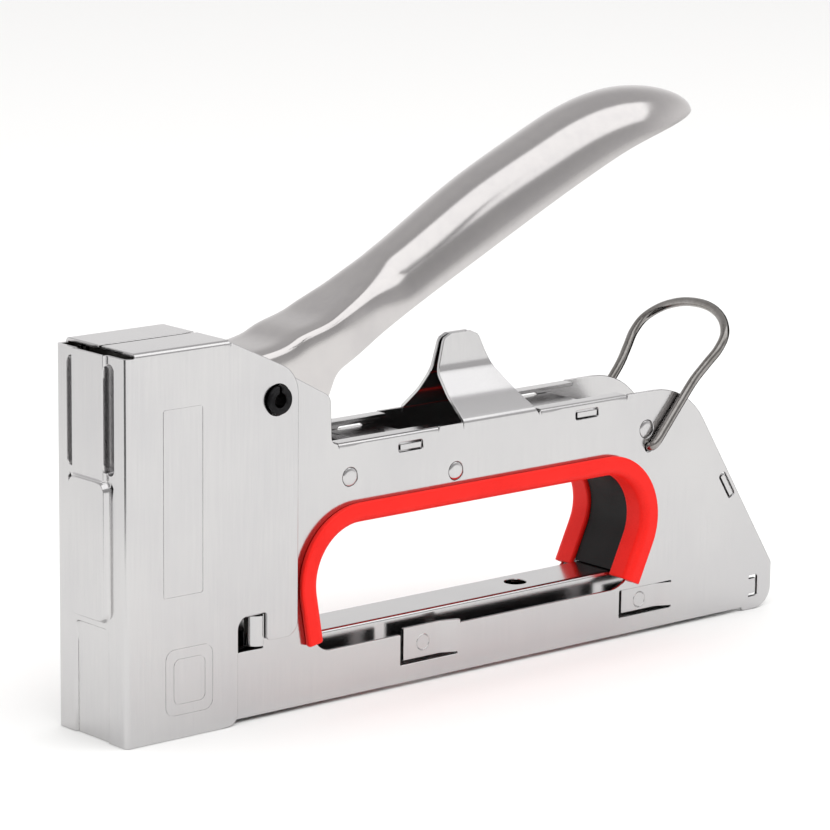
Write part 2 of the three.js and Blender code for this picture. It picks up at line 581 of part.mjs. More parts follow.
function buildPlunger() {
  const web = prism('x', [[-PLUNGER_HALF, PLUNGER_FOOT], [PLUNGER_HALF, PLUNGER_FOOT],
    [PLUNGER_HALF, EAR_FOOT], [EAR_OUT, EAR_FOOT], [EAR_OUT, EAR_FOOT + EAR_HEIGHT],
    [-EAR_OUT, EAR_FOOT + EAR_HEIGHT], [-EAR_OUT, EAR_FOOT], [-PLUNGER_HALF, EAR_FOOT]],
    PLUNGER_FRONT, PLUNGER_BACK);
  const shelf = prism('z', [[PLUNGER_FRONT, -PLUNGER_HALF], [SHELF_REAR, -PLUNGER_HALF, 3],
    [SHELF_REAR, PLUNGER_HALF, 3], [PLUNGER_FRONT, PLUNGER_HALF]],
    PLUNGER_FOOT, PLUNGER_FOOT + STRAP);
  const ear = prism('z', box(PLUNGER_FRONT, PLUNGER_BACK + EAR_REACH, FORK_IN - 0.2, EAR_OUT),
    EAR_FOOT, EAR_FOOT + EAR_THICKNESS);
  const rivetHoles = BLADE_RIVET_Z.map(z =>
    rod('x', 0, z, BLADE_RIVET + FIT, 0, PLUNGER_BACK + 1, 16));
  return cut(union([web, shelf, bothSides(ear)]), ...rivetHoles);
}

function buildStrikerBlade() {
  const half = BLADE_WIDTH / 2;
  const blade = prism('x', [[-half, BLADE_FOOT], [half, BLADE_FOOT], [half, BLADE_TOP, 1.5],
    [-half, BLADE_TOP, 1.5]], BLADE_FRONT, BLADE_BACK);
  const holes = BLADE_RIVET_Z.map(z => rod('x', 0, z, BLADE_RIVET + FIT, 0, BLADE_BACK + 1, 16));
  return cut(blade, ...holes);
}

function buildBladeRivet(z) {
  const shank = rod('x', 0, z, BLADE_RIVET, BLADE_FRONT - 1, PLUNGER_BACK, 16);
  const head = rod('x', 0, z, BLADE_RIVET + 1.1, BLADE_FRONT - FIT - 0.7, BLADE_FRONT - FIT, 16);
  return union([shank, head]);
}

function buildMainSpring() {
  const geometry = coil(SPRING_DIAMETER, SPRING_WIRE / 2, SPRING_TURNS,
    PLUNGER_FOOT + STRAP + FIT, SEAT_FOOT - FIT, 12);
  geometry.translate(SPRING_X, 0, 0);
  return toSolid(geometry);
}

function buildSpringSeat() {
  const front = PLUNGER_BACK + 1.4;
  const rear = SHELF_REAR + 1;
  return prism('z', [[front, -BETWEEN, 1], [rear, -BETWEEN, 1], [rear, BETWEEN, 1],
    [front, BETWEEN, 1]], SEAT_FOOT, SEAT_TOP);
}

const BLOCK_FOOT = CHANNEL_TOP + 0.4;
const BUMPER_HEIGHT = 3.5;
const BUMPER_HALF = 6;
const BUMPER_TOP = PLUNGER_FOOT - FIT;
const BLOCK_TOP = BUMPER_TOP - BUMPER_HEIGHT - FIT;

function buildDriverGuide() {
  return prism('x', box(-BETWEEN, BETWEEN, BLOCK_FOOT, PLUNGER_FOOT - 0.6), PLUNGER_FRONT,
    PLUNGER_BACK);
}

function buildNoseBlock() {
  return prism('y', [[PLATE_FRONT + 0.5, BLOCK_FOOT, 1], [COVER_FOOT_LENGTH - 3, BLOCK_FOOT, 1],
    [SHELF_REAR, BLOCK_TOP, 2], [PLATE_FRONT + 0.5, BLOCK_TOP, 1]], -BETWEEN, BETWEEN);
}

function buildBumper() {
  const front = PLATE_FRONT + 0.5;
  const rear = SHELF_REAR - 2;
  return prism('z', [[front, -BUMPER_HALF, 1.5], [rear, -BUMPER_HALF, 3], [rear, BUMPER_HALF, 3],
    [front, BUMPER_HALF, 1.5]], BUMPER_TOP - BUMPER_HEIGHT, BUMPER_TOP);
}

// ---------------------------------------------------------------- handle
// Both cheeks run level at half travel: at rest the noses hang half the squeeze angle lower.
function buildLiftArm() {
  const droop = radians(SQUEEZE_ANGLE / 2);
  const place = ([along, up]) => [
    PIVOT_X - along * Math.cos(droop) - up * Math.sin(droop),
    PIVOT_Z - along * Math.sin(droop) + up * Math.cos(droop),
    2,
  ];
  const bar = [[-6.2, 5.4], [6, 6], [ARM_LENGTH - 1, 1.4], [ARM_LENGTH - 1, -1.4], [6, -6],
    [-6.2, -5.4]].map(place);
  const nose = circle(armRestX, armRestZ, ARM_NOSE);
  const side = union([bar, nose].map(outline => prism('y', outline, 0, BODY_WIDTH)));
  const jogRear = FORK_REAR + JOG_LENGTH;
  const cheek = side.intersect(prism('z', [[0, FORK_IN], [FORK_REAR, FORK_IN], [jogRear, CHEEK_IN],
    [BODY_LENGTH, CHEEK_IN], [BODY_LENGTH, CHEEK_OUT], [jogRear, CHEEK_OUT], [FORK_REAR, FORK_OUT],
    [0, FORK_OUT]], 0, NOSE_HEIGHT));
  const webLength = PIVOT_X - FORK_REAR;
  const webOutline = box(9, webLength, 1, 1 + ARM_SHEET).map(point => place(point).slice(0, 2));
  const web = prism('y', webOutline, -CHEEK_IN - 0.2, CHEEK_IN + 0.2);
  const bore = rod('y', PIVOT_X, PIVOT_Z, BUSH_RADIUS + FIT, -CHEEK_OUT - 1, CHEEK_OUT + 1, 32);
  return cut(union([bothSides(cheek), web]), bore);
}

function buildHandleBush() {
  const half = HANDLE_HALF_WIDTH - 0.1;
  return cut(rod('y', PIVOT_X, PIVOT_Z, BUSH_RADIUS, -half, half, 32),
    rod('y', PIVOT_X, PIVOT_Z, PIN_RADIUS + FIT, -half - 1, half + 1, 32));
}

// The handle's lower rim in the XZ plane, from beside the pivot to the round tip.
const rimCurve = new THREE.CatmullRomCurve3([
  [1, -6.2], [18, 2.8], [29.8, 8.9], [44, 16.4], [68.7, 28.8], [95.7, 41.6], [115.3, 49.3],
  [HANDLE_REACH, 54.7],
].map(([x, z]) => new THREE.Vector3(PIVOT_X + x, 0, PIVOT_Z + z)));
const HANDLE_STATIONS = 30;
const SECTION_STEPS = 16;
const TIP_SHARE = 0.83;             // the plan is straight up to here, then rounds off
const CROWN_FALL = 0.7;             // the crown starts to come down to the tip here
// Crown height above the rim at shares of the handle's length: neck, waist, then the grip.
const CROWN_HEIGHTS = [[0, 17], [0.1, 13.4], [0.18, 11.4], [0.24, 11.4], [0.34, 12.9], [0.55, 14.3],
  [CROWN_FALL, 13.9], [1, 13.9]];

const smooth = (low, high, value) => THREE.MathUtils.smoothstep(value, low, high);

function crownHeight(share) {
  const next = Math.max(CROWN_HEIGHTS.findIndex(([at]) => at > share), 1);
  const [[from, low], [to, high]] = CROWN_HEIGHTS.slice(next - 1, next + 1);
  return low + (high - low) * smooth(from, to, share);
}

// Half width, crown height and squareness of the section at a share of the handle's length.
function handleSection(share, inset) {
  const along = start => Math.max((share - start) / (1 - start), 0);
  const planRound = Math.sqrt(Math.max(1 - along(TIP_SHARE) ** 2, 0));
  const crownRound = Math.max(1 - along(CROWN_FALL) ** 2, 0) ** 0.6;
  const waist = 0.8 * smooth(0.1, 0.2, share) * (1 - smooth(0.25, 0.5, share));
  const swell = 0.8 * smooth(0.35, 0.8, share);
  return {
    width: (HANDLE_HALF_WIDTH - waist + swell - inset) * planRound,
    height: (crownHeight(share) - inset) * crownRound,
    square: 7 - 4.9 * smooth(0.12, 0.38, share),
  };
}

function handlePoint(station, angle, inset, trim) {
  const share = station / HANDLE_STATIONS;
  const { width, height, square } = handleSection(share, inset);
  const base = rimCurve.getPointAt(share * trim);
  const tangent = rimCurve.getTangentAt(share * trim);
  const cosine = Math.cos(angle);
  const sine = Math.sin(angle);
  const across = Math.sign(cosine) * Math.pow(Math.abs(cosine), 2 / square);
  const up = Math.pow(Math.abs(sine), 2 / square);
  return [
    base.x - tangent.z * height * up,
    -width * across,
    base.z + tangent.x * height * up,
  ];
}

// The ears hang below the rim line round the pivot, between the side plates.
const handleEar = [[-8, 2, 5], [-8, -8, 7], [6, -9, 5], [17.6, -1.5, 3], [20.8, 4.2], [18, 8]]
  .map(([x, z, radius = 0]) => [PIVOT_X + x, PIVOT_Z + z, radius]);

function buildHandleShell() {
  const positions = [];
  const faces = [];
  const ring = (station, inset, trim) => {
    const first = positions.length / 3;
    for (let j = 0; j <= SECTION_STEPS; j += 1) {
      positions.push(...handlePoint(station, Math.PI * j / SECTION_STEPS, inset, trim));
    }
    return Array.from({ length: SECTION_STEPS + 1 }, (_, j) => first + j);
  };
  const tipPoint = (inset, trim) => {
    positions.push(...handlePoint(HANDLE_STATIONS, 0, inset, trim));
    return positions.length / 3 - 1;
  };
  const quad = (a, b, c, d) => faces.push(a, b, c, a, c, d);
  const innerTrim = 1 - HANDLE_SHEET / rimCurve.getLength();
  const outer = [];
  const inner = [];
  for (let station = 0; station < HANDLE_STATIONS; station += 1) {
    outer.push(ring(station, 0, 1));
    inner.push(ring(station, HANDLE_SHEET, innerTrim));
  }
  const outerTip = tipPoint(0, 1);
  const innerTip = tipPoint(HANDLE_SHEET, innerTrim);
  const last = HANDLE_STATIONS - 1;
  for (let i = 0; i < last; i += 1) {
    for (let j = 0; j < SECTION_STEPS; j += 1) {
      quad(outer[i][j], outer[i + 1][j], outer[i + 1][j + 1], outer[i][j + 1]);
      quad(inner[i][j], inner[i][j + 1], inner[i + 1][j + 1], inner[i + 1][j]);
    }
    quad(outer[i][0], inner[i][0], inner[i + 1][0], outer[i + 1][0]);
    quad(outer[i][SECTION_STEPS], outer[i + 1][SECTION_STEPS], inner[i + 1][SECTION_STEPS],
      inner[i][SECTION_STEPS]);
  }
  for (let j = 0; j < SECTION_STEPS; j += 1) {
    quad(outer[0][j], outer[0][j + 1], inner[0][j + 1], inner[0][j]);
    faces.push(outer[last][j], outerTip, outer[last][j + 1]);
    faces.push(inner[last][j], inner[last][j + 1], innerTip);
  }
  quad(outer[last][0], inner[last][0], innerTip, outerTip);
  quad(outer[last][SECTION_STEPS], outerTip, innerTip, inner[last][SECTION_STEPS]);
  const geometry = new THREE.BufferGeometry();
  geometry.setAttribute('position', new THREE.Float32BufferAttribute(positions, 3));
  geometry.setIndex(faces);
  const bore = rod('y', PIVOT_X, PIVOT_Z, BUSH_RADIUS + FIT, -COVER_OUT, COVER_OUT, 32);
  const ear = prism('y', handleEar, HANDLE_HALF_WIDTH - HANDLE_SHEET, HANDLE_HALF_WIDTH - 0.02);
  return cut(union([toSolid(geometry), bothSides(ear)]), bore);
}

// ---------------------------------------------------------------- bail
function buildBail() {
  const half = [
    [BETWEEN - 0.6, 0], [PLATE_OUT - 0.2, 0], [PLATE_OUT + 1.1, 0.5], [PLATE_OUT + 1.55, 2.2],
    [PLATE_OUT + 1.55, 5], [PLATE_OUT + 1.5, 12], [PLATE_OUT + 1.6, 20], [PLATE_OUT + 2.6, 25.5],
    [PLATE_OUT + 3.5, 30], [PLATE_OUT + 2.7, 34.5], [PLATE_OUT - 0.9, BAIL_LENGTH - 3.1],
    [PLATE_OUT - 6.1, BAIL_LENGTH - 0.7],
  ];
  const run = [...half, [0, BAIL_LENGTH], ...half.map(([y, reach]) => [-y, reach]).reverse()];
  const tilt = radians(BAIL_TILT);
  return wire(run.map(([y, reach]) => [BAIL_X + reach * Math.cos(tilt), y,
    BAIL_FOOT_Z + reach * Math.sin(tilt)]), BAIL_WIRE, 10, 64);
}

// ---------------------------------------------------------------- springs of the magazine
function buildPusherSpring() {
  const front = CORE_FRONT + PUSHER_LENGTH + 0.6;
  const geometry = coil(PUSHER_SPRING, PUSHER_WIRE, PUSHER_TURNS, front, TAIL_FRONT - 1, 6);
  geometry.rotateY(Math.PI / 2);
  geometry.translate(0, 0, GUIDE_Z);
  return toSolid(geometry);
}

// ---------------------------------------------------------------- finishes and assembly
const finish = (color, roughness, metalness) =>
  new THREE.MeshStandardMaterial({ color, roughness, metalness });
const bright = finish(0xd2d2ce, 0.28, 0.9);
const handleMetal = finish(0xb4b0ae, 0.32, 0.9);
const darkSteel = finish(0x8c8a88, 0.4, 0.9);
const blackSteel = finish(0x1a1a1a, 0.45, 0.6);
const redPlastic = finish(0xfb3a30, 0.45, 0);
const blackPlastic = finish(0x0c0c0c, 0.5, 0);
const rubber = finish(0x2a2a2a, 0.8, 0);

const model = new THREE.Group();
const pieces = new THREE.Group();

function addPiece(name, solid, material) {
  const mesh = new THREE.Mesh(toGeometry(solid), material);
  mesh.name = name;
  pieces.add(mesh);
}

const sidePlate = buildSidePlate();
const gripTrim = buildGripTrim();
addPiece('nose_cover', buildNoseCover(), bright);
addPiece('right_side_plate', sidePlate, bright);
addPiece('left_side_plate', mirrorY(sidePlate), bright);
addPiece('pivot_pin', buildPivotPin(), blackSteel);
addPiece('right_grip_trim', gripTrim, redPlastic);
addPiece('left_grip_trim', mirrorY(gripTrim), redPlastic);
addPiece('grip_liner', buildGripLiner(), blackPlastic);
for (const bridge of bridges) addPiece(bridge.name, buildBridge(bridge), bright);
for (const rivet of rivets) addPiece(rivet.name, buildRivet(rivet), bright);
addPiece('rear_cover', buildRearCover(), bright);
addPiece('magazine_channel', buildMagazineChannel(), bright);
addPiece('driver_guide', buildDriverGuide(), darkSteel);
addPiece('nose_block', buildNoseBlock(), darkSteel);
addPiece('bumper', buildBumper(), rubber);
addPiece('spring_seat', buildSpringSeat(), darkSteel);
addPiece('main_spring', buildMainSpring(), darkSteel);
addPiece('plunger', buildPlunger(), darkSteel);
addPiece('striker_blade', buildStrikerBlade(), darkSteel);
BLADE_RIVET_Z.forEach((z, i) => addPiece(`${['lower', 'upper'][i]}_blade_rivet`,
  buildBladeRivet(z), darkSteel));
addPiece('handle_shell', buildHandleShell(), handleMetal);
addPiece('handle_bush', buildHandleBush(), darkSteel);
addPiece('lift_arm', buildLiftArm(), darkSteel);
addPiece('bail', buildBail(), darkSteel);
addPiece('magazine_core', buildMagazineCore(), darkSteel);
addPiece('magazine_tail', buildMagazineTail(), darkSteel);
addPiece('guide_rod', buildGuideRod(), darkSteel);
addPiece('pusher', buildPusher(), darkSteel);
addPiece('pusher_spring', buildPusherSpring(), darkSteel);
addPiece('release_lever', buildReleaseLever(), blackSteel);
addPiece('release_pin', rod('y', RELEASE_X, RELEASE_Z, RELEASE_PIN, -TAIL_HALF, TAIL_HALF, 16),
  darkSteel);

// The origin is the middle of the base: half way from the nose pads to the rear edge.
pieces.position.x = -(BODY_LENGTH - NOSE_PAD_PROUD) / 2;
model.add(pieces);
export default model;
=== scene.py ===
"""Looks of a hand staple gun: pressed and plated steel, red grip trims, a wire bail and its springs.

Every finished piece is built in metres in the part's own frame, from its own sizes in millimetres and
from the places that the fixed frame gives.
"""
import json
import logging
import math
from collections.abc import Callable, Iterable, Sequence
from dataclasses import dataclass
from enum import Enum

import bmesh
import bpy
from mathutils import Matrix, Vector


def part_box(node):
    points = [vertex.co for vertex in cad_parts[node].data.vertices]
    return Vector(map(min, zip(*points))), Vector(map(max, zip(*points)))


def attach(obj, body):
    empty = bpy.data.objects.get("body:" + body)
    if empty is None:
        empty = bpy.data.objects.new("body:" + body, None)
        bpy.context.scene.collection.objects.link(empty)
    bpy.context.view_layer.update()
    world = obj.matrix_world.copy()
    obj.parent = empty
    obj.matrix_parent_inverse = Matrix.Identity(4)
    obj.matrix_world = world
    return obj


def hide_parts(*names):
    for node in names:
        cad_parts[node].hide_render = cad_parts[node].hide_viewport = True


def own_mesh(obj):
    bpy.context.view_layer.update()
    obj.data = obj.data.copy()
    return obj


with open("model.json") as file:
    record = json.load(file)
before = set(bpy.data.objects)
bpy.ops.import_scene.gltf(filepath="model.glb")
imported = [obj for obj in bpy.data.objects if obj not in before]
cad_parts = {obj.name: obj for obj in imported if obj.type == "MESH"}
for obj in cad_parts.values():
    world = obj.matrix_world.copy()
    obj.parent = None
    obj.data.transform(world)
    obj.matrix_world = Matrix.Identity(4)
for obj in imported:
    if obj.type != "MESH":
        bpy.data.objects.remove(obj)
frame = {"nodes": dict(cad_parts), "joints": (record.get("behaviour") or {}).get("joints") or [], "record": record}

logging.basicConfig(level=logging.INFO, format="%(name)s: %(message)s")
LOG = logging.getLogger("staple_gun")

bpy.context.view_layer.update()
MM = 0.001
WELD = 2e-6                 # vertices closer than this, in metres, are one vertex
SHARP = 32.0                # edges that turn more than this, in degrees, are sharp
Corner = tuple[float, ...]  # a, b and an optional corner radius
Point = tuple[float, float]


# ------------------------------------------------------------------ outlines, in millimetres
def arc_corner(before: Corner, corner: Corner, after: Corner, step: float) -> list[Point]:
    """Rounds one corner of an outline.

    Args:
        before: The corner before it.
        corner: The corner, with its radius.
        after: The corner after it.
        step: Greatest turn between two points, in degrees.

    Returns:
        The points that take the corner's place.
    """
    radius = corner[2] if len(corner) > 2 else 0.0
    tip = Vector(corner[:2])
    if radius <= 0:
        return [tuple(tip)]
    back = Vector(before[:2]) - tip
    ahead = Vector(after[:2]) - tip
    room = min(back.length * (0.49 if len(before) > 2 else 0.98),
               ahead.length * (0.49 if len(after) > 2 else 0.98))
    back.normalize()
    ahead.normalize()
    half = back.angle(ahead) / 2
    tangent = min(radius / math.tan(half), room)
    used = tangent * math.tan(half)
    centre = tip + (back + ahead).normalized() * (used / math.sin(half))
    start = tip + back * tangent - centre
    end = tip + ahead * tangent - centre
    turn = math.atan2(start.cross(end), start.dot(end))
    count = max(2, math.ceil(abs(math.degrees(turn)) / step))
    return [tuple(centre + Matrix.Rotation(turn * i / count, 2) @ start) for i in range(count + 1)]


def closed_outline(corners: Sequence[Corner], step: float = 9.0) -> list[Point]:
    """Rounds the corners of a closed outline.

    Args:
        corners: Its corners, each with a radius or without.
        step: Greatest turn between two points, in degrees.

    Returns:
        Its points, the last not repeating the first.
    """
    count = len(corners)
    points: list[Point] = []
    for i, corner in enumerate(corners):
        points += arc_corner(corners[i - 1], corner, corners[(i + 1) % count], step)
    return points


def open_path(corners: Sequence[Corner], step: float = 5.0) -> list[Point]:
    """Rounds the inner corners of an open path.

    Args:
        corners: Its corners, each with a radius or without.
        step: Greatest turn between two points, in degrees.

    Returns:
        Its points, from end to end.
    """
    points: list[Point] = [tuple(corners[0][:2])]
    for before, corner, after in zip(corners, corners[1:], corners[2:]):
        points += arc_corner(before, corner, after, step)
    return points + [tuple(corners[-1][:2])]


def refine(points: Sequence[Point], spacing: float) -> list[Point]:
    """Adds points to a path where its steps are long.

    Args:
        points: The path.
        spacing: The longest step it may have.

    Returns:
        The path with the points added.
    """
    fine: list[Point] = [points[0]]
    for start, end in zip(points, points[1:]):
        gap = math.dist(start, end)
        count = max(1, math.ceil(gap / spacing))
        fine += [tuple(Vector(start).lerp(Vector(end), i / count)) for i in range(1, count + 1)]
    return fine


def left_normals(points: Sequence[Point]) -> list[Vector]:
    """Finds which way is left along an open path.

    Args:
        points: The path.

    Returns:
        The unit normal on its left, at each point.
    """
    normals = []
    for i in range(len(points)):
        ahead = Vector(points[min(i + 1, len(points) - 1)]) - Vector(points[max(i - 1, 0)])
        ahead.normalize()
        normals.append(Vector((-ahead.y, ahead.x)))
    return normals


def offset_path(points: Sequence[Point], distance: float) -> list[Point]:
    """Moves an open path to its left by a distance."""
    return [tuple(Vector(point) + normal * distance)
            for point, normal in zip(points, left_normals(points))]


def ring(a: float, b: float, radius: float, sides: int = 40) -> list[Point]:
    """Gives the points of a circle."""
    turns = (2 * math.pi * i / sides for i in range(sides))
    return [(a + radius * math.cos(turn), b + radius * math.sin(turn)) for turn in turns]


def spread(low: float, high: float, count: int) -> list[float]:
    """Gives count + 1 evenly spread values from low to high."""
    return [low + (high - low) * i / count for i in range(count + 1)]


def ease(low: float, high: float, value: float) -> float:
    """Rises smoothly from 0 at low to 1 at high."""
    share = min(max((value - low) / (high - low), 0.0), 1.0)
    return share * share * (3 - 2 * share)


def through_points(knots: Sequence[Sequence[float]], count: int) -> list[Vector]:
    """Gives an even-paced smooth curve through a list of points.

    Args:
        knots: The points that the curve passes through.
        count: How many equal steps the curve is divided into.

    Returns:
        count + 1 points of the curve.
    """
    pins = [Vector(knot) for knot in knots]
    pins = [pins[0] * 2 - pins[1], *pins, pins[-1] * 2 - pins[-2]]
    dense: list[Vector] = []
    per_span = 48
    for a, b, c, d in zip(pins, pins[1:], pins[2:], pins[3:]):
        for i in range(per_span):
            t = i / per_span
            dense.append(0.5 * (2 * b + (c - a) * t + (2 * a - 5 * b + 4 * c - d) * t ** 2
                                + (3 * b - a - 3 * c + d) * t ** 3))
    dense.append(pins[-2])
    reached = [0.0]
    for start, end in zip(dense, dense[1:]):
        reached.append(reached[-1] + (end - start).length)
    curve: list[Vector] = []
    at = 0
    for i in range(count + 1):
        goal = reached[-1] * i / count
        while at < len(reached) - 2 and reached[at + 1] < goal:
            at += 1
        span = max(reached[at + 1] - reached[at], 1e-12)
        curve.append(dense[at].lerp(dense[at + 1], min((goal - reached[at]) / span, 1.0)))
    return curve


# ------------------------------------------------------------------ places
@dataclass(frozen=True)
class Datum:
    """Turns lengths in millimetres from the nose columns into places in the frame."""

    columns_x: float
    length: float

    @classmethod
    def from_frame(cls, pad_proud: float) -> "Datum":
        """Finds the nose columns, which lie behind the pads, and the rear edge of the plates.

        Args:
            pad_proud: How far the pads stand in front of the columns, in millimetres.

        Returns:
            The datum.
        """
        low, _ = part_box("nose_cover")
        _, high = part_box("left_side_plate")
        columns = low.x + pad_proud * MM
        return cls(columns, (high.x - columns) / MM)

    def at(self, x: float, y: float, z: float) -> Vector:
        """Gives the place of a point, in metres."""
        return Vector((self.columns_x + x * MM, y * MM, z * MM))

    def x_of(self, place: Vector) -> float:
        """Gives how far behind the nose columns a place is, in millimetres."""
        return (place.x - self.columns_x) / MM


PAD_PROUD = 2.0
DATUM = Datum.from_frame(PAD_PROUD)


def centre_of(node: str) -> Vector:
    """Gives the middle of a CAD node's box."""
    low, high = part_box(node)
    return (low + high) / 2


def find_joint(name: str) -> dict[str, object]:
    """Gives a joint of the frame by its name."""
    return next(joint for joint in frame["joints"] if joint["name"] == name)


# ------------------------------------------------------------------ building
class Blank:
    """A piece in the making: patches and solids are added, welded, then turned into an object."""

    def __init__(self, name: str) -> None:
        """Starts an empty piece with its final name."""
        self.name = name
        self.bm = bmesh.new()

    def patch(self, columns: int, rows: int, place: Callable[[float, float], Vector]) -> None:
        """Lays a grid over a surface.

        Args:
            columns: Steps in the first direction.
            rows: Steps in the second direction.
            place: Gives the place of a point from its two shares, from 0 to 1.
        """
        made = bmesh.ops.create_grid(self.bm, x_segments=columns, y_segments=rows, size=0.5)
        for vert in made["verts"]:
            vert.co = place(vert.co.x + 0.5, vert.co.y + 0.5)

    def panel(self, loops: Iterable[Sequence[Point]], place: Callable[[float, float], Vector]) -> None:
        """Fills a flat panel between its outline and the outlines of its holes.

        Args:
            loops: The outline and those of the holes.
            place: Gives the place of a point of an outline.
        """
        edges = []
        for loop in loops:
            verts = [self.bm.verts.new(place(a, b)) for a, b in loop]
            edges += [self.bm.edges.new(pair) for pair in zip(verts, verts[1:] + verts[:1])]
        made = bmesh.ops.triangle_fill(self.bm, use_beauty=True, use_dissolve=False, edges=edges)
        faces = [item for item in made["geom"] if isinstance(item, bmesh.types.BMFace)]
        inner = list({edge for face in faces for edge in face.edges if len(edge.link_faces) == 2})
        bmesh.ops.dissolve_limit(self.bm, angle_limit=math.radians(0.5), use_dissolve_boundaries=False,
                                 verts=[], edges=inner)

    def prism(self, outline: Sequence[Point], place: Callable[[float, float], Vector], rise: Vector) -> None:
        """Draws a flat outline out into a solid.

        Args:
            outline: The outline.
            place: Gives the place of a point of the outline.
            rise: How far it is drawn out, and which way.
        """
        verts = [self.bm.verts.new(place(a, b)) for a, b in outline]
        base = self.bm.faces.new(verts)
        made = bmesh.ops.extrude_face_region(self.bm, geom=[base], use_keep_orig=True)
        moved = [item for item in made["geom"] if isinstance(item, bmesh.types.BMVert)]
        bmesh.ops.translate(self.bm, verts=moved, vec=rise)
        self.turn_out(verts + moved)

    def sweep(self, section: Sequence[Point], path: Sequence[Vector],
              frames: Sequence[tuple[Vector, Vector]], cap: bool = True) -> None:
        """Draws a closed section along a path.

        Args:
            section: Points of the section, in metres.
            path: Places that the section's origin passes.
            frames: The section's two directions at each of them.
            cap: Whether the ends are closed.
        """
        rings = len(path) - 1
        around = len(section)

        def place(u: float, v: float) -> Vector:
            """Places a point of the swept section.

            Args:
                u: Share of the way round the section.
                v: Share of the way along the path.

            Returns:
                Its place.
            """
            a, b = section[round(u * around) % around]
            step = round(v * rings)
            first, second = frames[step]
            return path[step] + first * a + second * b

        before = set(self.bm.verts)
        self.patch(around, rings, place)
        added = [vert for vert in self.bm.verts if vert not in before]
        bmesh.ops.remove_doubles(self.bm, verts=added, dist=WELD / 4)
        if cap:
            added = [vert for vert in self.bm.verts if vert not in before]
            rims = list({edge for vert in added for edge in vert.link_edges if edge.is_boundary})
            bmesh.ops.holes_fill(self.bm, edges=rims, sides=0)
        self.turn_out([vert for vert in self.bm.verts if vert not in before])

    def turn_out(self, verts: Sequence[bmesh.types.BMVert]) -> None:
        """Points the faces of a closed solid outwards."""
        faces = list({face for vert in verts for face in vert.link_faces})
        bmesh.ops.recalc_face_normals(self.bm, faces=faces)

    def weld(self) -> None:
        """Joins the patches where their edges meet."""
        bmesh.ops.remove_doubles(self.bm, verts=self.bm.verts[:], dist=WELD)

    def face(self, direction: Vector) -> None:
        """Makes the faces agree.

        Args:
            direction: Where the largest of the faces that are square to it shall face.
        """
        bmesh.ops.recalc_face_normals(self.bm, faces=self.bm.faces[:])
        square = max(self.bm.faces, key=lambda face: face.calc_area() * abs(face.normal.dot(direction)))
        if square.normal.dot(direction) < 0:
            bmesh.ops.reverse_faces(self.bm, faces=self.bm.faces[:])

    def thicken(self, wall: float) -> None:
        """Gives an open sheet its wall, behind its faces."""
        bmesh.ops.solidify(self.bm, geom=self.bm.faces[:], thickness=wall * MM)
        self.bm.normal_update()

    def piece(self, body: str, finish: "Finish", nodes: Sequence[str], edge: float = 0.0,
              smooth: float = SHARP, behind: float = -1.0) -> bpy.types.Object:
        """Turns the blank into a finished piece of the scene.

        Args:
            body: CAD body that it moves with.
            finish: Its finish.
            nodes: CAD nodes that it stands for.
            edge: Radius of its sharp edges, in millimetres, or 0.
            smooth: Edges that turn more than this, in degrees, stay sharp.
            behind: Only edges behind this X, in metres, are rounded.

        Returns:
            The object.
        """
        weight = self.bm.edges.layers.float.new("bevel_weight_edge")
        for rim in self.bm.edges:
            turned = len(rim.link_faces) == 2 and rim.calc_face_angle() > math.radians(smooth)
            rim[weight] = float(turned and min(vert.co.x for vert in rim.verts) > behind)
        mesh = bpy.data.meshes.new(self.name)
        self.bm.to_mesh(mesh)
        self.bm.free()
        mesh.shade_smooth()
        mesh.set_sharp_from_angle(angle=math.radians(smooth))
        piece = bpy.data.objects.new(self.name, mesh)
        bpy.context.scene.collection.objects.link(piece)
        mesh.materials.append(finish.material())
        if edge > 0:
            soften(piece, edge, "WEIGHT")
        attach(piece, body)
        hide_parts(*nodes)
        return piece


def soften(piece: bpy.types.Object, edge: float, limit: str) -> None:
    """Rounds a piece's sharp edges and evens its shading.

    Args:
        piece: The piece.
        edge: Radius of its edges, in millimetres.
        limit: What picks the edges: their own weight or their angle.
    """
    bevel = piece.modifiers.new("edge", "BEVEL")
    bevel.width = edge * MM
    bevel.segments = 2
    bevel.limit_method = limit
    bevel.angle_limit = math.radians(SHARP)
    bevel.use_clamp_overlap = False
    bevel.loop_slide = False
    shading = piece.modifiers.new("shading", "WEIGHTED_NORMAL")
    shading.keep_sharp = True


# ------------------------------------------------------------------ finishes
def linear(code: str) -> tuple[float, float, float, float]:
    """Turns an sRGB hex colour into a linear one.

    Args:
        code: The colour, as # and six hex digits.

    Returns:
        Its linear red, green and blue, and 1 for opaque.
    """
    shares = (int(code[i:i + 2], 16) / 255 for i in (1, 3, 5))
    red, green, blue = (s / 12.92 if s <= 0.04045 else ((s + 0.055) / 1.055) ** 2.4 for s in shares)
    return red, green, blue, 1.0


def add_node(tree: bpy.types.NodeTree, kind: str, settings: dict[str, object] | None = None,
             **inputs: object) -> bpy.types.Node:
    """Adds a node with its settings and inputs.

    Args:
        tree: The node tree.
        kind: The node's type.
        settings: Values of its own settings.
        inputs: Values or sockets, by the input's name with _ for a space.

    Returns:
        The node.
    """
    node = tree.nodes.new(kind)
    for key, value in (settings or {}).items():
        setattr(node, key, value)
    for key, value in inputs.items():
        socket = next(s for s in node.inputs if s.enabled and s.name.replace(" ", "_") == key)
        if isinstance(value, bpy.types.NodeSocket):
            tree.links.new(value, socket)
        else:
            socket.default_value = value
    return node


class Base(Enum):
    """What a finish is made of: bare metal, or moulded plastic or rubber."""

    METAL = "metal"
    MOULDED = "moulded"


MOULDED_GLOSS = 0.28        # specular level of moulded faces, whose texture dulls them


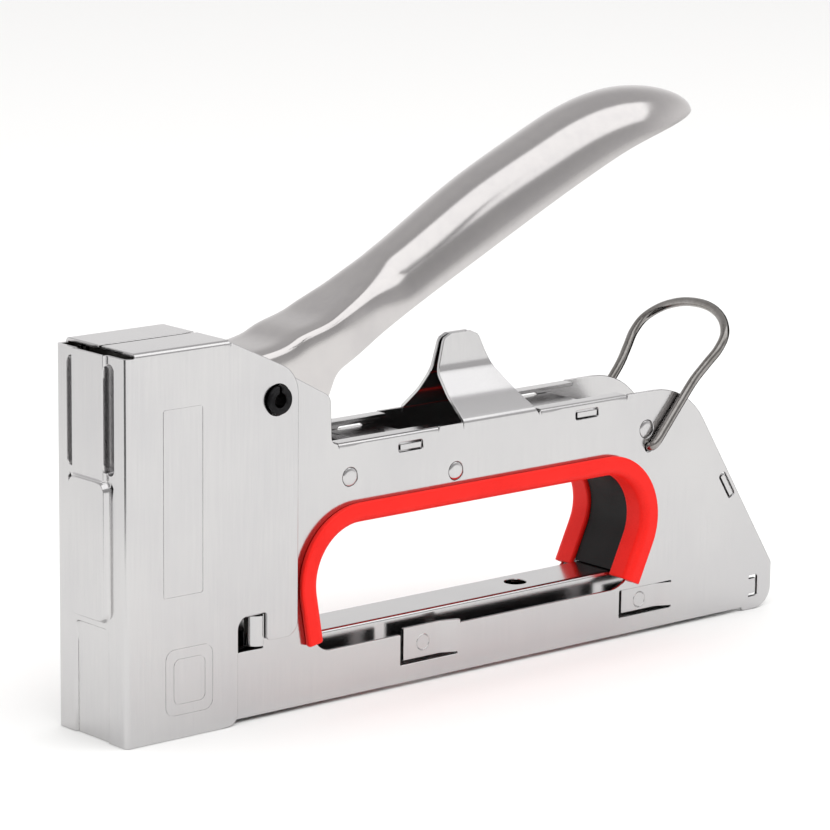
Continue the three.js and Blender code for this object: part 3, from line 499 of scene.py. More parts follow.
@dataclass(frozen=True)
class Finish:
    """A real finish, with its colours and the real sizes of its grain.

    Attributes:
        name: Name of the material.
        slot: The record's material slot.
        base: What it is made of.
        light: Its colour.
        dark: Its colour where it is dulled.
        rough: Least and greatest roughness.
        grain: Size of the grain along X, Y and Z, in millimetres.
        depth: Depth of the grain, in millimetres.
        mottle: Size of the cloudy variation, in millimetres.
    """

    name: str
    slot: str
    base: Base
    light: str
    dark: str
    rough: tuple[float, float]
    grain: tuple[float, float, float]
    depth: float
    mottle: float = 14.0

    def material(self) -> bpy.types.Material:
        """Makes the finish's material, or finds it if it is made.

        Returns:
            The material.
        """
        made = bpy.data.materials.get(self.name)
        if made:
            return made
        made = bpy.data.materials.new(self.name)
        made.use_nodes = True
        tree = made.node_tree
        tree.nodes.clear()
        place = add_node(tree, "ShaderNodeTexCoord").outputs["Object"]
        scaled = add_node(tree, "ShaderNodeMapping", Vector=place,
                          Scale=tuple(1 / (size * MM) for size in self.grain)).outputs["Vector"]
        grain = add_node(tree, "ShaderNodeTexNoise", Vector=scaled, Scale=1.0, Detail=3.0,
                         Roughness=0.6).outputs["Fac"]
        cloud = add_node(tree, "ShaderNodeTexNoise", Vector=place, Scale=1 / (self.mottle * MM),
                         Detail=4.0, Roughness=0.55).outputs["Fac"]
        mixed = add_node(tree, "ShaderNodeMix", {"data_type": "FLOAT"}, Factor=0.45, A=cloud,
                         B=grain).outputs["Result"]
        share = add_node(tree, "ShaderNodeMapRange", {"interpolation_type": "SMOOTHSTEP"}, Value=mixed,
                         From_Min=0.36, From_Max=0.66, To_Min=0.0, To_Max=1.0).outputs["Result"]
        colour = add_node(tree, "ShaderNodeMix", {"data_type": "RGBA"}, Factor=share,
                          A=linear(self.light), B=linear(self.dark))
        roughness = add_node(tree, "ShaderNodeMapRange", Value=mixed, From_Min=0.3, From_Max=0.7,
                             To_Min=self.rough[0], To_Max=self.rough[1]).outputs["Result"]
        bump = add_node(tree, "ShaderNodeBump", Height=grain, Strength=1.0,
                        Distance=self.depth * MM).outputs["Normal"]
        shader = add_node(tree, "ShaderNodeBsdfPrincipled", Roughness=roughness, Normal=bump,
                          Base_Color=next(s for s in colour.outputs if s.enabled))
        shader.inputs["Metallic"].default_value = 1.0 if self.base is Base.METAL else 0.0
        if self.base is Base.MOULDED:
            shader.inputs["Specular IOR Level"].default_value = MOULDED_GLOSS
        tree.links.new(shader.outputs[0], add_node(tree, "ShaderNodeOutputMaterial").inputs["Surface"])
        return made


# Nickel plate over brushed sheet: neutral grey, with upright brush lines that draw its reflections out.
# The lines are drawn some three times as wide as real ones, so that they show.
PLATED = Finish("nickel_plated_brushed_sheet", "plated_steel", Base.METAL, "#C9C8C8", "#C3C2C3",
                (0.13, 0.20), (0.30, 0.30, 14.0), 0.0006, 30.0)
# Nickel plate over a deep-drawn and polished pressing: a little warmer, with smooth broad reflections.
POLISHED = Finish("nickel_plated_drawn_handle", "handle_steel", Base.METAL, "#C6C3C2", "#C1BEBE",
                  (0.15, 0.18), (3.0, 3.0, 3.0), 0.0006, 40.0)
# Soft-touch moulded plastic in signal red: even colour, a fine eroded texture and a satin sheen.
# The texture is drawn coarser than real, so that it shows.
RED_GRIP = Finish("moulded_red_grip_plastic", "red_grip", Base.MOULDED, "#FA1C10", "#F0170C",
                  (0.48, 0.60), (0.35, 0.35, 0.35), 0.006, 9.0)
# Moulded black nylon: nearly black, with a fine leathery grain that breaks up its satin gloss.
BLACK_NYLON = Finish("moulded_black_nylon", "black_plastic", Base.MOULDED, "#030304", "#080809",
                     (0.42, 0.58), (0.5, 0.5, 0.5), 0.02, 6.0)
# Black oxide on hardened steel: near black, oily, with lathe marks along the pin.
BLACK_OXIDE = Finish("black_oxide_hardened_steel", "black_steel", Base.METAL, "#2A2A2B", "#1A1A1B",
                     (0.28, 0.42), (0.6, 3.0, 0.6), 0.002, 5.0)
# Bright drawn spring wire: a darker and glossier grey than the plate.
DRAWN_WIRE = Finish("bright_drawn_spring_wire", "spring_wire", Base.METAL, "#9A9795", "#86837F",
                    (0.14, 0.24), (0.8, 0.8, 0.8), 0.0015, 6.0)
# Oiled tool steel, ground all over: mid grey and satin, with ground lines across the tool.
TOOL_STEEL = Finish("ground_oiled_tool_steel", "tool_steel", Base.METAL, "#8F8C88", "#6F6C69",
                    (0.28, 0.45), (0.4, 6.0, 0.4), 0.003, 10.0)
# Moulded nitrile rubber: dark grey and dull, with a fine uneven skin.
BUMPER_RUBBER = Finish("moulded_nitrile_rubber", "rubber", Base.MOULDED, "#1D1D1E", "#262627",
                       (0.7, 0.85), (0.6, 0.6, 0.6), 0.02, 8.0)
FINISHES = (PLATED, POLISHED, RED_GRIP, BLACK_NYLON, BLACK_OXIDE, DRAWN_WIRE, TOOL_STEEL, BUMPER_RUBBER)


class Side(Enum):
    """The two sides of the tool; the value is the sign of Y."""

    LEFT = -1
    RIGHT = 1


RIVETS = ("front_rivet", "middle_rivet", "rear_rivet")
SHANK = 2.15                # radius of the rivets where they pass the plates, in millimetres


# ------------------------------------------------------------------ nose cover
@dataclass
class NoseCover:
    """The pressed cover round the nose, folded from one sheet. Lengths in millimetres."""

    corner: float = 1.2            # radius of its two upright edges
    stand: float = 0.6             # how far the columns beside the pads stand forward
    bend: float = 1.1              # radius where the top flaps fold in
    wall: float = 0.9
    flap_front: float = 2.2        # where the top flaps start and end
    flap_end: float = 28.8
    flap_gap: float = 0.55         # half the gap between the flaps
    flap_lift: float = 0.4         # how far the flaps stand above the CAD node
    slope: float = 0.469           # fall of the top edge behind the flaps
    foot_length: float = 31.0      # from the front to the rear of the foot
    skirt: float = 18.5            # height of the side wall's lower edge behind the foot
    notch_top: float = 25.3        # top and rear of the window cut into the side wall
    notch_rear: float = 39.5
    panel_half: float = 6.0        # half width of the upper panel, and how far it stands forward
    panel_proud: float = 1.45
    pad_half: float = 6.8          # half width of the pad in the middle
    groove_out: float = 8.7        # outer edge of the grooves beside the panel, and their depth
    groove_bottom: float = 1.7
    upper_foot: float = 61.0       # foot of the upper panel
    middle_foot: float = 28.0      # foot of the pad in the middle
    recess_half: float = 6.3       # half width of the recess below it, and its depth
    recess_depth: float = 0.0
    tear_y: float = 7.85           # place, half width, foot and top of the dents at the panel's foot
    tear_half: float = 0.75
    tear_foot: float = 55.6
    tear_top: float = 60.2
    step: float = 0.22             # half the width of a pressed edge

    def __post_init__(self) -> None:
        """Takes the cover's outer sizes from the frame."""
        _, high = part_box("nose_cover")
        self.half = high.y / MM
        self.height = high.z / MM + self.flap_lift
        self.seam_x = DATUM.x_of(high)
        self.top = self.height - self.bend
        pin = centre_of("pivot_pin")
        pin_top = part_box("pivot_pin")[1].z
        self.pin_hole = ring(DATUM.x_of(pin), pin.z / MM, (pin_top - pin.z) / MM + 0.3, 48)

    def inside(self, y: float, z: float, half: float, foot: float, top: float, radius: float) -> float:
        """Says how far inside a rounded rectangle a point of the front is.

        Args:
            y: The point's place across the front.
            z: Its height.
            half: Half the rectangle's width.
            foot: Height of its foot.
            top: Height of its top.
            radius: Radius of its corners.

        Returns:
            The distance to its edge, negative outside.
        """
        over_y = abs(y) - (half - radius)
        over_z = max(foot + radius - z, z - (top - radius))
        outside = math.hypot(max(over_y, 0.0), max(over_z, 0.0)) + min(max(over_y, over_z), 0.0)
        return radius - outside

    def relief(self, y: float, z: float) -> float:
        """Gives the shape of the pressed front.

        Args:
            y: A point's place across the front.
            z: Its height.

        Returns:
            How far it lies behind the datum.
        """
        soft = self.step
        upper = ease(-soft, soft, self.inside(y, z, self.panel_half, self.upper_foot - 1, self.top + 4, 0.5))
        middle = ease(-soft * 2.4, soft * 1.6, self.inside(y, z, self.pad_half, self.middle_foot,
                                                           self.upper_foot - 0.9, 2.4))
        recess = ease(-soft, soft, self.inside(y, z, self.recess_half, -9.0, self.middle_foot - 1.8, 1.5))
        half = (self.groove_out - self.panel_half) / 2 + 0.1
        groove = ease(-soft, soft, self.inside(abs(y) - self.panel_half - half + 0.2, z, half,
                                               self.upper_foot + 0.9, self.top - 2.0, half))
        taper = min(max((z - self.tear_foot) / 3.4, 0.0), max((self.tear_top - z) / 1.2, 0.0), 1.0)
        tear = ease(0.0, 0.3, self.tear_half * taper - abs(abs(y) - self.tear_y))
        level = -self.stand + (self.stand - self.panel_proud) * upper
        level += (-PAD_PROUD - level) * middle
        level += (self.recess_depth - level) * recess
        return level + (self.groove_bottom - level) * max(groove * (1 - upper), tear)

    def stations(self, fine: Sequence[tuple[float, float]], end: float, coarse: float) -> list[float]:
        """Gives values from 0 to an end, close together in the fine ranges.

        Args:
            fine: The ranges where a pressed edge lies.
            end: The last value.
            coarse: The widest step between two values.

        Returns:
            The values, in order.
        """
        values = [0.0]
        while values[-1] < end - 1e-6:
            here = values[-1]
            close = any(low - 0.01 <= here < high for low, high in fine)
            ahead = min([low for low, _ in fine if low > here + 1e-6] + [end])
            values.append(min(here + 0.09, end) if close else min(here + coarse, ahead))
        return values

    def front_lines(self) -> list[Point]:
        """Gives the plan of the front's upright lines.

        Returns:
            For each its distance behind the datum, which counts only at the rounded edges, and its
            place across.
        """
        quarter = [(self.corner * (1 - math.sin(turn)) - self.stand,
                    self.half - self.corner * (1 - math.cos(turn)))
                   for turn in spread(0, math.pi / 2, 8)]
        edges = [(self.panel_half - 0.6, self.panel_half + 1.3),
                 (self.groove_out - 1.3, self.groove_out + 0.4)]
        inner = [(-self.stand, y) for y in reversed(self.stations(edges, self.half - self.corner, 1.2))]
        half = quarter + inner[1:]
        return [(x, -y) for x, y in half] + [(x, y) for x, y in reversed(half[:-1])]

    def front_levels(self) -> list[float]:
        """Gives the heights of the front's level lines."""
        edges = [(self.middle_foot - 2.4, self.middle_foot + 3.0),
                 (self.upper_foot - 7.0, self.upper_foot + 3), (self.top - 5, self.top - 1.4)]
        return self.stations(edges, self.top, 3.0)

    def side_outline(self, levels: Sequence[float], flap_steps: int) -> list[Point]:
        """Gives the outline of one side wall, sharing its points with the front and the flap.

        Args:
            levels: Heights of the front's level lines.
            flap_steps: Steps along the flap.

        Returns:
            The outline.
        """
        slope_z = self.height - self.flap_lift - (self.seam_x - self.flap_end) * self.slope
        rest = open_path([
            (self.corner - self.stand, 0), (self.foot_length, 0, 3), (self.foot_length, self.notch_top, 3),
            (self.notch_rear, self.notch_top, 1), (self.notch_rear, self.skirt, 1),
            (self.seam_x, self.skirt, 3.5), (self.seam_x, slope_z, 8),
            (self.flap_end + 0.5, self.height - 0.65), (self.flap_end, self.top)], 7.5)
        flap_points = [(x, self.top) for x in spread(self.flap_end, self.flap_front, flap_steps)]
        front_points = [(self.corner - self.stand, z) for z in reversed(levels)]
        return rest + flap_points[1:] + front_points[:-1]

    def build(self) -> bpy.types.Object:
        """Builds the cover from its front, its sides and its folded flaps.

        Returns:
            The cover.
        """
        blank = Blank("pressed_nose_cover")
        lines, levels = self.front_lines(), self.front_levels()
        flap_steps, bend_steps = 6, 8

        def front(u: float, v: float) -> Vector:
            """Places a point of the pressed front.

            Args:
                u: Share of the way across.
                v: Share of the way up.

            Returns:
                Its place.
            """
            x, y = lines[round(u * (len(lines) - 1))]
            z = levels[round(v * (len(levels) - 1))]
            flat = abs(y) < self.half - self.corner - 1e-6
            return DATUM.at(self.relief(y, z) if flat else x, y, z)

        blank.patch(len(lines) - 1, len(levels) - 1, front)
        flap_width = self.half - self.bend - self.flap_gap
        for side in Side:
            y = side.value * self.half
            blank.panel([self.side_outline(levels, flap_steps), self.pin_hole],
                        lambda a, b, y=y: DATUM.at(a, y, b))

            def flap(u: float, v: float, sign: int = side.value) -> Vector:
                """Places a point of a top flap and of its fold.

                Args:
                    u: Share of the way along the flap.
                    v: Share of the way up the fold and across the flap.
                    sign: Sign of Y of its side.

                Returns:
                    Its place.
                """
                x = self.flap_front + (self.flap_end - self.flap_front) * u
                level = v * (bend_steps + 1)
                turn = min(level / bend_steps, 1.0) * math.pi / 2
                in_y = self.half - self.bend * (1 - math.cos(turn))
                flat = max(level - bend_steps, 0.0) * flap_width
                return DATUM.at(x, sign * (in_y - flat), self.top + self.bend * math.sin(turn))

            blank.patch(flap_steps, bend_steps + 1, flap)
        blank.weld()
        self.orient(blank)
        blank.thicken(self.wall)
        self.add_marks(blank)
        return blank.piece("frame", PLATED, ["nose_cover"], edge=0.16, smooth=60,
                           behind=DATUM.at(self.corner, 0, 0).x)

    def orient(self, blank: Blank) -> None:
        """Points the faces out, judged by the left side wall.

        Args:
            blank: The welded sheet.
        """
        bmesh.ops.recalc_face_normals(blank.bm, faces=blank.bm.faces[:])
        inner_y = -(self.half - self.wall) * MM
        wall = max((face for face in blank.bm.faces if face.calc_center_median().y < inner_y),
                   key=lambda face: face.calc_area())
        if wall.normal.y > 0:
            bmesh.ops.reverse_faces(blank.bm, faces=blank.bm.faces[:])

    def add_marks(self, blank: Blank) -> None:
        """Adds the plain raised frames on both side walls.

        Args:
            blank: The sheet, with its wall.
        """
        frames = [(10.5, 23.8, 5.4, 20.8, 2.4), (12.8, 21.6, 7.9, 18.4, 1.6), (10.0, 21.0, 33.0, 76.0, 0.6)]
        line, proud, sunk = 0.28, 0.09, 0.3
        for side in Side:
            y = side.value * self.half
            for x0, x1, z0, z1, radius in frames:
                centre = closed_outline([(x0, z0, radius), (x1, z0, radius), (x1, z1, radius),
                                         (x0, z1, radius)], 15)
                path = [DATUM.at(a, y, b) for a, b in centre + centre[:1]]
                normals = left_normals(centre[-1:] + centre + centre[:2])[1:-1]
                section = [(-line / 2 * MM, -sunk * MM), (line / 2 * MM, -sunk * MM),
                           (line / 4 * MM, proud * MM), (-line / 4 * MM, proud * MM)]
                turned = [(Vector((n.x, 0, n.y)), Vector((0, side.value, 0))) for n in normals]
                blank.sweep(section, path, turned, cap=False)


# ------------------------------------------------------------------ side plates
@dataclass(frozen=True)
class GripContour:
    """The edge of the hand opening that the fingers touch. Lengths in millimetres."""

    front: float = 51.9            # front end of the opening
    rear_gap: float = 40.2         # from its rear end to the rear edge of the plates
    top: float = 42.2
    foot: float = 12.7
    rise: float = 1.7              # from the free edge of the trim to the edge of the plate

    def path(self, spacing: float = 2.0) -> list[Point]:
        """Gives the free edge.

        Args:
            spacing: The longest step between two points.

        Returns:
            Its points, from the front foot over the top to the rear foot.
        """
        rear = DATUM.length - self.rear_gap
        return refine(open_path([(self.front + 4.5, 15.8), (self.front, self.top, 13),
                                 (rear, self.top, 12), (rear - 12.5, 15.4)], 5), spacing)

    def opening(self, notch: tuple[float, float, float]) -> list[Point]:
        """Gives the hole in a side plate.

        Args:
            notch: Front, rear and foot of the front lance's notch below it.

        Returns:
            The hole's outline.
        """
        edge = offset_path(self.path(40), self.rise)
        rear = DATUM.length - self.rear_gap
        front, back, low = notch
        bottom = open_path([edge[-1], (rear - 13, self.foot, 10), (back, self.foot, 0.3),
                            (back, low, 0.4), (front, low, 0.4), (front, self.foot, 0.3),
                            (self.front + 4.5, self.foot, 6), edge[0]], 9)
        return edge + bottom[1:-1]


@dataclass
class SidePlate:
    """One pressed side plate, with its stop tab, folded edges and lances. Lengths in millimetres."""

    side: Side
    contour: GripContour
    wall: float = 0.9
    lift: float = 0.9              # height of the lower edge above the floor
    front: float = 5.9             # where the plate starts, inside the nose cover
    shoulder_x: float = 58.9       # where the high front part ends
    hump_front: float = 99.6       # front, foot, first change of slope, and top of the stop tab
    hump_foot: float = 60.5
    hump_neck: float = 71.8
    hump_top: float = 80.8
    slant_foot: float = 11.4       # height where the rear edge starts to slant
    slant_run: float = 24.5        # how far it slants forward in a height of slant_rise
    slant_rise: float = 39.0
    flange_bend: float = 0.9       # radius and width of the folded top edges
    flange_width: float = 2.9
    lance_foot: float = 5.2        # height of the lances' lower cut
    lance_length: float = 17.9
    lance_out: float = 10.2        # from the tool's middle to the face of their tongues
    front_lance: float = 80.6      # where the front lance starts
    rear_lance_gap: float = 53.2   # from the rear lance's start to the rear edge
    tab_radius: float = 3.6        # radius of the tab bent in at the window

    def __post_init__(self) -> None:
        """Takes the plate's places from the frame."""
        node = f"{self.side.name.lower()}_side_plate"
        low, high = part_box(node)
        self.node = node
        self.out = max(abs(low.y), abs(high.y)) / MM
        self.length = DATUM.length
        _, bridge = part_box("front_bridge")
        self.back = bridge.z / MM + 2.7
        self.rear_lance = self.length - self.rear_lance_gap

    def put(self, a: float, b: float) -> Vector:
        """Places a point of the plate's outer face."""
        return DATUM.at(a, self.side.value * self.out, b)

    def slant_x(self, z: float) -> float:
        """Gives the rear edge's place at a height."""
        return self.length - self.slant_run * (z - self.slant_foot) / self.slant_rise

    def hump_profile(self) -> list[Point]:
        """Gives the stop tab's bends, as distances from the middle and heights."""
        return refine(open_path([(self.out, self.hump_foot), (self.out - 0.05, 61.8, 1.6),
                                 (5.7, 67.1, 12), (1.65, 72.2, 5), (1.25, self.hump_top)], 6), 0.9)

    def hump_edges(self, z: float) -> tuple[float, float]:
        """Gives where the stop tab's edges are.

        Args:
            z: A height.

        Returns:
            Its front and rear edges at that height.
        """
        rise, above = z - self.hump_foot, z - self.hump_neck
        front = self.hump_front + (0.4 * rise / 11.3 if above < 0 else 0.4 + 2.4 * above / 9.0)
        rear = self.hump_front + (24.0 - 8.8 * rise / 15.3 if rise < 15.3
                                  else 15.2 - 2.3 * (rise - 15.3) / 5.0)
        radius = 1.9
        over = max(z - (self.hump_top - radius), 0.0) / radius
        inset = radius * (1 - math.sqrt(max(1 - over ** 2, 0.0)))
        return front + inset, rear - inset

    def outline(self, hump_steps: int, flanges: Sequence[Point], flange_steps: int) -> list[Point]:
        """Gives the plate's outline, sharing points with the stop tab and the folded edges.

        Args:
            hump_steps: Steps along the stop tab's foot.
            flanges: Front and rear end of both folded edges.
            flange_steps: Steps along each of them.

        Returns:
            The outline.
        """
        low = self.back - self.flange_bend
        front, rear = self.hump_edges(self.hump_foot)
        first, second = flanges
        front_fold, rear_fold = ([(x, low) for x in spread(end, start, flange_steps)]
                                 for start, end in flanges)
        lower = open_path([
            (self.front + 4, self.lift), (self.length - 10.3, self.lift), (self.length - 9.7, 0.01),
            (self.length, 0.01, 5.5), (self.length, self.slant_foot, 1.5),
            (self.slant_x(self.back), self.back, 20), (second[1] + 0.4, self.back), (second[1], low)], 7.5)
        upper = open_path([
            (first[0], low), (first[0] - 0.4, self.back), (self.shoulder_x + 0.4, self.back, 2.2),
            (self.shoulder_x, 73.0, 3), (40, 83.2), (30, 87.4), (self.front, 87.4),
            (self.front, self.lift + 2, 1), (self.front + 4, self.lift)], 7.5)
        between = [(second[0] - 0.3, self.back - 0.2), (rear + 0.1, self.hump_foot + 0.2)]
        before = [(front - 0.2, self.back), (first[1] + 0.4, self.back)]
        tab = [(x, self.hump_foot) for x in spread(rear, front, hump_steps)]
        return lower + rear_fold[1:] + between + tab + before + front_fold + upper[1:-1]

    def hole_rings(self) -> list[list[Point]]:
        """Gives the outlines of the round holes and the slots.

        Returns:
            The outlines.
        """
        rings = []
        for name in RIVETS:
            middle = centre_of(name)
            rings.append(ring(DATUM.x_of(middle), middle.z / MM, SHANK + 0.14, 32))
        pin = centre_of("pivot_pin")
        pin_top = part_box("pivot_pin")[1].z
        rings.append(ring(DATUM.x_of(pin), pin.z / MM, (pin_top - pin.z) / MM + 0.3, 40))
        foot = Vector(find_joint("bail_swing")["pos_m"])
        rings.append(ring(DATUM.x_of(foot), foot.z / MM, 1.4, 24))
        # the slots of both bridges' tabs, and that of the rear cover's
        for x, z in ((83.2, self.back - 3.4), (self.length - 65.2, self.back - 3.0)):
            rings.append(closed_outline([(x - 3.8, z - 1.2, 0.7), (x + 3.8, z - 1.2, 0.7),
                                         (x + 3.8, z + 1.2, 0.7), (x - 3.8, z + 1.2, 0.7)], 30))
        rings.append(self.slanted_slot())
        # the hooked slot at the rear, the window behind the nose and the cut of the rear lance
        x = self.length - 7.8
        rings.append(closed_outline([(x, 3.4), (x + 3.1, 3.4, 0.6), (x + 3.1, 8.9, 0.6), (x, 8.9),
                                     (x, 8.1), (x + 2.3, 8.1), (x + 2.3, 4.2), (x, 4.2)], 30))
        rings.append(closed_outline([(31.6, 16.6, 0.5), (39.3, 16.6, 0.3), (39.3, 24.7, 0.3),
                                     (31.6, 24.7, 2.0)], 30))
        start, end = self.rear_lance, self.rear_lance + self.lance_length
        rings.append(closed_outline([(start, self.lance_foot, 0.4), (end, self.lance_foot, 0.4),
                                     (end, 12.1, 0.4), (start, 12.1, 0.4)], 30))
        return rings

    def slanted_slot(self) -> list[Point]:
        """Gives the slot beside the slanted rear edge.

        Returns:
            Its outline. It holds the rear cover's tab.
        """
        angle = math.atan2(self.slant_run, self.slant_rise)
        z = 33.9
        centre = Vector((self.slant_x(z) - 2.1 / math.cos(angle), z))
        turn = Matrix.Rotation(angle, 2)
        corners = [centre + turn @ Vector(corner) for corner in
                   ((-1.2, -3.7), (1.2, -3.7), (1.2, 3.7), (-1.2, 3.7))]
        return closed_outline([(corner.x, corner.y, 0.7) for corner in corners], 30)

    def add_fold(self, blank: Blank, span: Point, steps: int) -> None:
        """Adds an edge that is folded in at right angles.

        Args:
            blank: The sheet.
            span: Front and rear end of the edge.
            steps: Steps along it.
        """
        bends = 5

        def place(u: float, v: float) -> Vector:
            """Places a point of the bend and of the flange.

            Args:
                u: Share of the way along.
                v: Share of the way round the bend and across the flange.

            Returns:
                Its place.
            """
            x = span[0] + (span[1] - span[0]) * u
            level = v * (bends + 1)
            turn = min(level / bends, 1.0) * math.pi / 2
            y = self.out - self.flange_bend * (1 - math.cos(turn))
            y -= max(level - bends, 0.0) * self.flange_width
            return DATUM.at(x, self.side.value * y, self.back - self.flange_bend * (1 - math.sin(turn)))

        blank.patch(steps, bends + 1, place)

    def add_hump(self, blank: Blank, steps: int) -> None:
        """Adds the stop tab, bent up and in from the plate's top edge.

        Args:
            blank: The sheet.
            steps: Steps from its front edge to its rear edge.
        """
        profile = self.hump_profile()
        rows = len(profile) - 1

        def place(u: float, v: float) -> Vector:
            """Places a point of the stop tab.

            Args:
                u: Share of the way from its front edge to its rear edge.
                v: Share of the way up.

            Returns:
                Its place.
            """
            y, z = profile[round(v * rows)]
            front, rear = self.hump_edges(z)
            return DATUM.at(front + (rear - front) * u, self.side.value * y, z)

        blank.patch(steps, rows, place)

    def add_window_tab(self, blank: Blank) -> None:
        """Adds the tab at the window behind the nose, bent in like a quarter pipe.

        Args:
            blank: The sheet.
        """

        def place(u: float, v: float) -> Vector:
            """Places a point of the window tab.

            Args:
                u: Share of the way round its bend.
                v: Share of the way up.

            Returns:
                Its place.
            """
            turn = math.radians(80) * u
            y = self.out - self.tab_radius * (1 - math.cos(turn))
            return DATUM.at(39.35 - self.tab_radius * math.sin(turn), self.side.value * y, 17.0 + 7.3 * v)

        blank.patch(8, 2, place)

    def add_lance(self, blank: Blank, front: float, top: float) -> None:
        """Adds a lance: a tongue sunk towards the magazine that ramps back out to the plate.

        Args:
            blank: The sheet, with its wall.
            front: Where the cut for it starts.
            top: Height of its upper edge.
        """
        rear = front + self.lance_length
        sunk_out = self.lance_out
        sunk_in = sunk_out - self.wall
        flush = self.out - 0.02
        plan = closed_outline([(front + 2.2, sunk_in), (rear - 4, sunk_in, 2),
                               (rear + 0.8, self.out - self.wall), (rear + 0.8, flush),
                               (rear - 0.6, flush, 1), (rear - 4.4, sunk_out, 2),
                               (front + 2.2, sunk_out)], 10)
        foot = self.lance_foot + 0.5
        blank.prism(plan, lambda a, b: DATUM.at(a, self.side.value * b, foot),
                    Vector((0, 0, (top - foot) * MM)))
        mark = ring(front + 8.2, (foot + top) / 2 - 0.3, 1.9, 24)
        spokes = ring(0, 0, 1, 24)
        path = [DATUM.at(a, self.side.value * sunk_out, b) for a, b in mark + mark[:1]]
        turned = [(Vector((a, 0, b)), Vector((0, self.side.value, 0))) for a, b in spokes + spokes[:1]]
        section = [(0.16 * MM * a, 0.1 * MM * b) for a, b in ring(0, 0, 1, 6)]
        blank.sweep(section, path, turned, cap=False)

    def build(self) -> bpy.types.Object:
        """Builds the plate with its tab, folds and lances.

        Returns:
            The plate.
        """
        blank = Blank(f"{self.side.name.lower()}_plate_sheet")
        hump_steps, fold_steps = 12, 4
        folds = [(self.shoulder_x + 2.5, self.hump_front - 7.8), (self.hump_front + 24.8, self.length - 52)]
        notch = (self.front_lance, self.front_lance + self.lance_length, self.lance_foot)
        loops = [self.outline(hump_steps, folds, fold_steps), self.contour.opening(notch)]
        blank.panel(loops + self.hole_rings(), self.put)
        self.add_hump(blank, hump_steps)
        for span in folds:
            self.add_fold(blank, span, fold_steps)
        self.add_window_tab(blank)
        blank.weld()
        blank.face(Vector((0, self.side.value, 0)))
        blank.thicken(self.wall)
        self.add_lance(blank, self.front_lance, 13.6)
        self.add_lance(blank, self.rear_lance, 11.7)
        return blank.piece("frame", PLATED, [self.node], edge=0.13)


# ------------------------------------------------------------------ grip
@dataclass
class Grip:
    """The two red trims and the black liner round the hand opening. Lengths in millimetres."""

    contour: GripContour
    leg: float = 5.1               # width of the trims' lip on the plate
    wall: float = 1.4
    fillet: float = 2.1            # radius of the edge that the fingers touch
    undercut: float = 0.5          # how far the lip's outer edge leans in at its foot
    liner_sunk: float = 0.8        # how far the liner lies back from the trims' face
    liner_wall: float = 2.2
    gap: float = 0.3               # between the trims and the liner

    def section_frames(self, path: Sequence[Point], sign: int) -> list[tuple[Vector, Vector]]:
        """Gives the directions away from the opening and outwards along a path."""
        return [(Vector((n.x, 0, n.y)), Vector((0, sign, 0))) for n in left_normals(path)]

    def build_trim(self, side: Side) -> bpy.types.Object:
        """Builds the trim of one side as one moulding with a rounded lip.

        Args:
            side: The side.

        Returns:
            The trim.
        """
        node = f"{side.name.lower()}_grip_trim"
        low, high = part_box(node)
        outer = max(abs(low.y), abs(high.y)) / MM
        inner = min(abs(low.y), abs(high.y)) / MM
        _, plate_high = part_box("right_side_plate")
        seat = plate_high.y / MM + 0.12
        corners = [(self.leg, outer, 0.6), (0, outer, self.fillet), (0, inner, 0.5),
                   (self.wall, inner, 0.3), (self.wall, seat, 0.2), (self.leg - self.undercut, seat, 0.2)]
        section = [(a * MM, b * MM) for a, b in closed_outline(corners, 15)]
        path = self.contour.path(2.0)
        blank = Blank(f"{side.name.lower()}_red_trim")
        blank.sweep(section, [DATUM.at(a, 0, b) for a, b in path], self.section_frames(path, side.value))
        return blank.piece("frame", RED_GRIP, [node], edge=0.2, smooth=50)

    def build_liner(self) -> bpy.types.Object:
        """Builds the liner that fills the gap between the two trims.

        Returns:
            The liner.
        """
        _, trim_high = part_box("left_grip_trim")
        half = abs(trim_high.y) / MM - self.gap
        _, liner_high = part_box("grip_liner")
        wing = liner_high.y / MM
        shelf = self.wall + self.gap
        deep = self.liner_sunk + self.liner_wall
        corners = [(self.liner_sunk, -half, 0.3), (self.liner_sunk, half, 0.3), (shelf, half),
                   (shelf, wing), (deep, wing), (deep, -wing), (shelf, -wing), (shelf, -half)]
        section = [(a * MM, b * MM) for a, b in closed_outline(corners, 30)]
        path = self.contour.path(2.0)
        blank = Blank("black_grip_liner")
        blank.sweep(section, [DATUM.at(a, 0, b) for a, b in path], self.section_frames(path, 1))
        _, channel_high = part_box("magazine_channel")
        geometry = blank.bm.verts[:] + blank.bm.edges[:] + blank.bm.faces[:]
        bmesh.ops.bisect_plane(blank.bm, geom=geometry, plane_co=(0, 0, channel_high.z + 0.2 * MM),
                               plane_no=(0, 0, -1), clear_outer=True)
        bmesh.ops.holes_fill(blank.bm, edges=[edge for edge in blank.bm.edges if edge.is_boundary], sides=0)
        blank.turn_out(blank.bm.verts[:])
        return blank.piece("frame", BLACK_NYLON, ["grip_liner"], edge=0.15)


